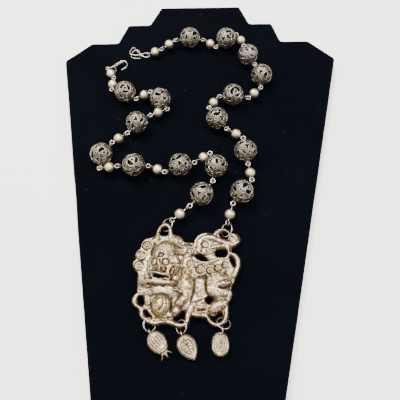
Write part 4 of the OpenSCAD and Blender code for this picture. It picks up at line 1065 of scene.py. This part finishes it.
# Lights: name, place, aim, width, height, share of the key light, colour
LIGHTS = (
    ("key", (-0.35, 0.5, 1.0), (0, 0, 0), 0.45, 0.3, 1.0, (1, 0.98, 0.95)),
    ("ceiling", (0.25, 0.15, 1.3), (0, 0, 0), 0.35, 0.35, 0.8, (1, 0.98, 0.95)),
    ("window", (0.9, -0.1, 0.7), (0, -0.05, 0), 0.35, 0.5, 0.4, (0.94, 0.97, 1)),
    ("side", (-0.9, -0.1, 0.6), (0, -0.05, 0), 0.25, 0.5, 0.25, (1, 0.97, 0.93)),
    ("front", (-0.1, -0.75, 0.9), (0, -0.05, 0), 0.3, 0.2, 0.3, (1, 0.98, 0.95)),
)
# The camera's angle in degrees, its place in metres (z is over the board), and its right, up and back
FIELD_OF_VIEW = 47.92
CAMERA_PLACE = (0.01807, -0.15545, 0.26446)
CAMERA_AXES = ((0.99893, 0.0236, -0.0398), (-0.00315, 0.89284, 0.45037), (0.04616, -0.44976, 0.89196))


# Operators, one for each piece or group of like pieces

class NECKLACE_OT_board(bpy.types.Operator):
    """Make the padded velvet display board"""
    bl_idname = "necklace.board"
    bl_label = "Velvet board"

    def execute(self, context):
        board = context.scene.necklace_board
        bm = bmesh.new()
        outline = list(BOARD_CORNERS) + [(-x, y) for x, y in reversed(BOARD_CORNERS)]
        bm.faces.new([bm.verts.new((x, y, 0)) for x, y in outline])
        rounding = {"segments": 6, "profile": 0.5, "material": -1}
        bmesh.ops.bevel(bm, geom=bm.verts[:], offset=board.corner / MM, affect="VERTICES", **rounding)
        long = [e for e in bm.edges if e.calc_length() > CELL]
        bmesh.ops.subdivide_edges(bm, edges=long, cuts=24, use_grid_fill=False)
        rim = bmesh.ops.extrude_face_region(bm, geom=bm.faces[:])["geom"]
        top = [g for g in rim if isinstance(g, bmesh.types.BMFace)]
        bmesh.ops.translate(bm, verts=list({v for f in top for v in f.verts}), vec=(0, 0, BOARD_TOP))
        bmesh.ops.recalc_face_normals(bm, faces=bm.faces)
        top = [f for f in bm.faces if f.normal.z > 0.9]
        bottom = [f for f in bm.faces if f.normal.z < -0.9]
        for faces, size in ((top, board.edge / MM), (bottom, 0.4 * board.edge / MM)):
            edges = list({e for f in faces for e in f.edges})
            bmesh.ops.bevel(bm, geom=edges, offset=size, affect="EDGES", **rounding)
        # The flat faces are divided into cells
        for across, reach in (((1, 0, 0), 9 * CELL), ((0, 1, 0), 13 * CELL)):
            for at in range(-reach, reach + 1, CELL):
                level = [f for f in bm.faces if abs(f.normal.z) > 0.9 and f.calc_area() > 100]
                geom = list({g for f in level for g in (*f.verts, *f.edges)}) + level
                place = Vector(across) * (at + 0.3)
                bmesh.ops.bisect_plane(bm, geom=geom, dist=1e-4, plane_co=place, plane_no=across)
        # The padding bulges unevenly at the sides
        for v in bm.verts:
            k = noise.noise(Vector((v.co.x / 26, v.co.y / 26, v.co.z / 9)))
            f = noise.noise(Vector((v.co.x / 7, v.co.y / 7, v.co.z / 5 + 40)))
            out = Vector((v.co.x, v.co.y - 20, 0)).normalized()
            if 0.6 < v.co.z < BOARD_TOP - 0.01:
                v.co += out * (0.28 * k + 0.1 * f)
        material = velvet("black velvet", tuple(board.velvet))
        o = piece("velvet_board", bm, material, "velvet", "display_board")
        return {"FINISHED"}


class NECKLACE_OT_wire(bpy.types.Operator):
    """Finish the pins and jump rings"""
    bl_idname = "necklace.wire"
    bl_label = "Wire"

    def execute(self, context):
        wire = worn_silver("silver wire", "wire", rubbed=0.24, recess=0.5, film=0.5, hammer=0.15, grain=0.1)
        for name in ("strand_pins_right", "strand_pins_left") + RINGS:
            finish_node(name, wire)
        return {"FINISHED"}


class NECKLACE_OT_clasp(bpy.types.Operator):
    """Make the open hook and the eye from bent wire"""
    bl_idname = "necklace.clasp"
    bl_label = "Clasp"

    def execute(self, context):
        wire = bpy.data.materials["silver wire"]
        bm = bmesh.new()
        for points, radius in HOOK_WIRES:
            path = spline([(x, y, BOARD_TOP + HOOK_LEVEL) for x, y in points], 5)
            sweep(bm, path, radius, 12)
        first, last, turns, steps, half_width, half_height = SHANK_WRAP
        up = Vector((0, 0, 1))
        along = (Vector(last) - Vector(first)).to_3d()
        side = along.cross(up).normalized()
        wrap = []
        for k in range(steps * turns + 1):
            angle = 2 * math.pi * k / steps
            at = Vector((*first, BOARD_TOP + HOOK_LEVEL)) + along * k / (steps * turns) + side * 0.3
            wrap.append(at + half_width * math.cos(angle) * side + half_height * math.sin(angle) * up)
        sweep(bm, wrap, WRAP_WIRE, 6)
        (x, y), radius, level = HOOK_RING
        turn = round_turn(24)
        ring = [(x + radius * math.cos(t), y + radius * math.sin(t), BOARD_TOP + level) for t in turn]
        sweep(bm, ring, RING_WIRE, 10, True)
        piece("clasp_hook_wire", bm, wire, "wire_silver", "clasp_hook")
        bm = bmesh.new()
        for points, z in EYE_WIRES:
            sweep(bm, spline([(x, y, z) for x, y in points], 5, True), EYE_WIRE, 12, True)
        (x, y), foot, rise, steps = EYE_POST
        sweep(bm, [(x, y, foot + rise * k) for k in range(steps)], EYE_WIRE, 12)
        piece("clasp_eye_wire", bm, wire, "wire_silver", "clasp_eye")
        return {"FINISHED"}


class NECKLACE_OT_balls(bpy.types.Operator):
    """Make the openwork balls"""
    bl_idname = "necklace.balls"
    bl_label = "Openwork balls"

    def execute(self, context):
        settings = context.scene.necklace_ball
        silver = worn_silver("openwork silver", "ball", rubbed=0.24, recess=0.55, film=0.9, hammer=0.4,
                             grain=0.15, punch=0.3)
        for side, count in BALLS.items():
            for k in range(1, count + 1):
                name = "openwork_ball_%s_%d" % (side, k)
                low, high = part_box(name)
                centre = (np.array(low) + np.array(high)) / 2 / MM
                axis = (0.3 * k, 1, 0.2 * k + 0.4)
                quarter, series = (90, 10) if side == "left" else (0, 0)
                turn = np.array(Matrix.Rotation(math.radians(37 * k + quarter), 3, axis))
                exits = pin_exits(side, centre, settings.radius / MM)
                bm = openwork_ball(settings, 6, turn, exits, k + series)
                bmesh.ops.translate(bm, verts=bm.verts, vec=centre)
                piece("openwork_%s_%d" % (side, k), bm, silver, "openwork_silver", name)
        return {"FINISHED"}


class NECKLACE_OT_beads(bpy.types.Operator):
    """Finish the small round beads"""
    bl_idname = "necklace.beads"
    bl_label = "Round beads"

    def execute(self, context):
        silver = worn_silver("bead silver", "bead", rubbed=0.36, recess=0.55, film=1.0, hammer=0.4,
                             grain=0.3, punch=0.3)
        for side, count in BEADS.items():
            for k in range(1, count + 1):
                finish_node("round_bead_%s_%d" % (side, k), silver)
        return {"FINISHED"}


class NECKLACE_OT_pendant(bpy.types.Operator):
    """Beat up the hollow foo dog pendant from its sheet"""
    bl_idname = "necklace.pendant"
    bl_label = "Pendant"

    def execute(self, context):
        s = context.scene.necklace_pendant
        pitch = s.pitch / MM * 1
        fine, broad = ((2, 5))
        # The pendant's recesses get patina and painted shade, and its open mouth is painted black
        bm = beaten_sheet(*PENDANT_SHEET, pitch, pendant_edge, pendant_front, pendant_back,
                          s.middle / MM, s.rim / MM, pendant_shade(fine, broad), pendant_cast)
        silver = worn_silver("pendant silver", "pale", rubbed=0.26, recess=0.5, film=0.8, hammer=0.35,
                             grain=0.4, punch=0.55)
        piece("pendant_relief", bm, silver, "cast_silver", "foo_dog_pendant")
        return {"FINISHED"}


class NECKLACE_OT_charms(bpy.types.Operator):
    """Make the three fruit charms with their loops"""
    bl_idname = "necklace.charms"
    bl_label = "Charms"

    def execute(self, context):
        silver = worn_silver("charm silver", "pale", rubbed=0.28, recess=0.55, film=1.0, hammer=0.35,
                             grain=0.3, punch=0.25)
        for name, (kind, outline, place, turn, loop, oval, heading) in CHARMS.items():
            smooth = spline(outline, 4, True)
            # The charms' recesses get patina and painted shade
            bm = beaten_sheet(*CHARM_SHEET, 0.2,
                              lambda x, y: signed_distance(smooth, x, y), charm_front(kind), charm_back,
                              0, 0.5, recess_shade(2, 5, 1.1, 0.04))
            lay = Matrix.Translation((*place, BOARD_TOP + CHARM_LEVEL))
            lay = lay @ Matrix.Rotation(math.radians(turn), 4, "Z")
            bmesh.ops.transform(bm, matrix=lay, verts=bm.verts)
            c, s = math.cos(math.radians(heading)), math.sin(math.radians(heading))
            across = [(t, oval[0] * math.cos(t)) for t in round_turn(22)]
            path = [(loop[0] + u * c, loop[1] + u * s, loop[2] + oval[1] * math.sin(t)) for t, u in across]
            sweep(bm, path, CHARM_WIRE, 10, True)
            piece(name + "_relief", bm, silver, "cast_silver", name)
        return {"FINISHED"}


class NECKLACE_OT_stage(bpy.types.Operator):
    """Set up the pale table top, the soft lights and the camera"""
    bl_idname = "necklace.stage"
    bl_label = "Stage"

    def execute(self, context):
        s = context.scene.necklace_stage
        bm = bmesh.new()
        bmesh.ops.create_grid(bm, x_segments=4, y_segments=4, size=1.5)
        mesh = bpy.data.meshes.new("table_top")
        bm.to_mesh(mesh)
        bm.free()
        table = bpy.data.objects.new("table_top", mesh)
        context.scene.collection.objects.link(table)
        m, tree, shader = new_material("pale table top")
        at = node(tree, "ShaderNodeTexCoord").outputs["Object"]
        pale = tuple(s.floor)
        cloud = ramp(tree, noise_value(tree, at, 3, 3, 0.5), ((0.3, tinted(pale, 0.985)), (0.7, pale)))
        tree.links.new(cloud, shader.inputs["Base Color"])
        shader.inputs["Roughness"].default_value = 0.6
        mesh.materials.append(m)

        world = bpy.data.worlds.new("soft room")
        context.scene.world = world
        world.use_nodes = True
        background = world.node_tree.nodes["Background"]
        background.inputs["Color"].default_value = (1, 0.985, 0.96, 1)
        background.inputs["Strength"].default_value = s.sky

        for name, place, aim, wide, high, share, colour in LIGHTS:
            light = bpy.data.lights.new(name, "AREA")
            light.shape = "RECTANGLE"
            light.size, light.size_y = wide, high
            light.energy = s.key * share
            light.color = colour
            o = bpy.data.objects.new(name, light)
            o.location = place
            o.rotation_euler = (Vector(aim) - Vector(place)).to_track_quat("-Z", "Y").to_euler()
            context.scene.collection.objects.link(o)

        camera = bpy.data.cameras.new("camera")
        camera.sensor_fit = "HORIZONTAL"
        camera.angle = math.radians(FIELD_OF_VIEW)
        camera.clip_start = 0.01
        o = bpy.data.objects.new("camera", camera)
        turn = Matrix(CAMERA_AXES).transposed().to_4x4()
        x, y, z = CAMERA_PLACE
        o.matrix_world = Matrix.Translation((x, y, z + BOARD_TOP * MM)) @ turn
        context.scene.collection.objects.link(o)
        context.scene.camera = o
        return {"FINISHED"}


class NECKLACE_PT_panel(bpy.types.Panel):
    """Lists the necklace's pieces and their sizes"""
    bl_idname = "NECKLACE_PT_panel"
    bl_label = "Foo dog necklace"
    bl_space_type = "VIEW_3D"
    bl_region_type = "UI"
    bl_category = "Necklace"

    def draw(self, context):
        for name, settings in SETTINGS.items():
            box = self.layout.box()
            box.label(text=settings.__doc__)
            group = getattr(context.scene, name)
            for key in settings.__annotations__:
                box.prop(group, key)
        for operator in OPERATORS:
            self.layout.operator(operator.bl_idname)


SETTINGS = {"necklace_board": BoardSettings, "necklace_silver": SilverSettings, "necklace_ball": BallSettings,
            "necklace_pendant": PendantSettings, "necklace_stage": StageSettings}
OPERATORS = (NECKLACE_OT_stage, NECKLACE_OT_board, NECKLACE_OT_wire, NECKLACE_OT_clasp, NECKLACE_OT_balls,
             NECKLACE_OT_beads, NECKLACE_OT_pendant, NECKLACE_OT_charms)


def register():
    for name, settings in SETTINGS.items():
        bpy.utils.register_class(settings)
        setattr(bpy.types.Scene, name, bpy.props.PointerProperty(type=settings))
    for c in OPERATORS + (NECKLACE_PT_panel,):
        bpy.utils.register_class(c)


def unregister():
    for c in reversed(OPERATORS + (NECKLACE_PT_panel,)):
        bpy.utils.unregister_class(c)
    for name, settings in reversed(SETTINGS.items()):
        delattr(bpy.types.Scene, name)
        bpy.utils.unregister_class(settings)


def main():
    register()
    for operator in OPERATORS:
        group, name = operator.bl_idname.split(".")
        getattr(getattr(bpy.ops, group), name)()


if __name__ == "__main__":
    main()
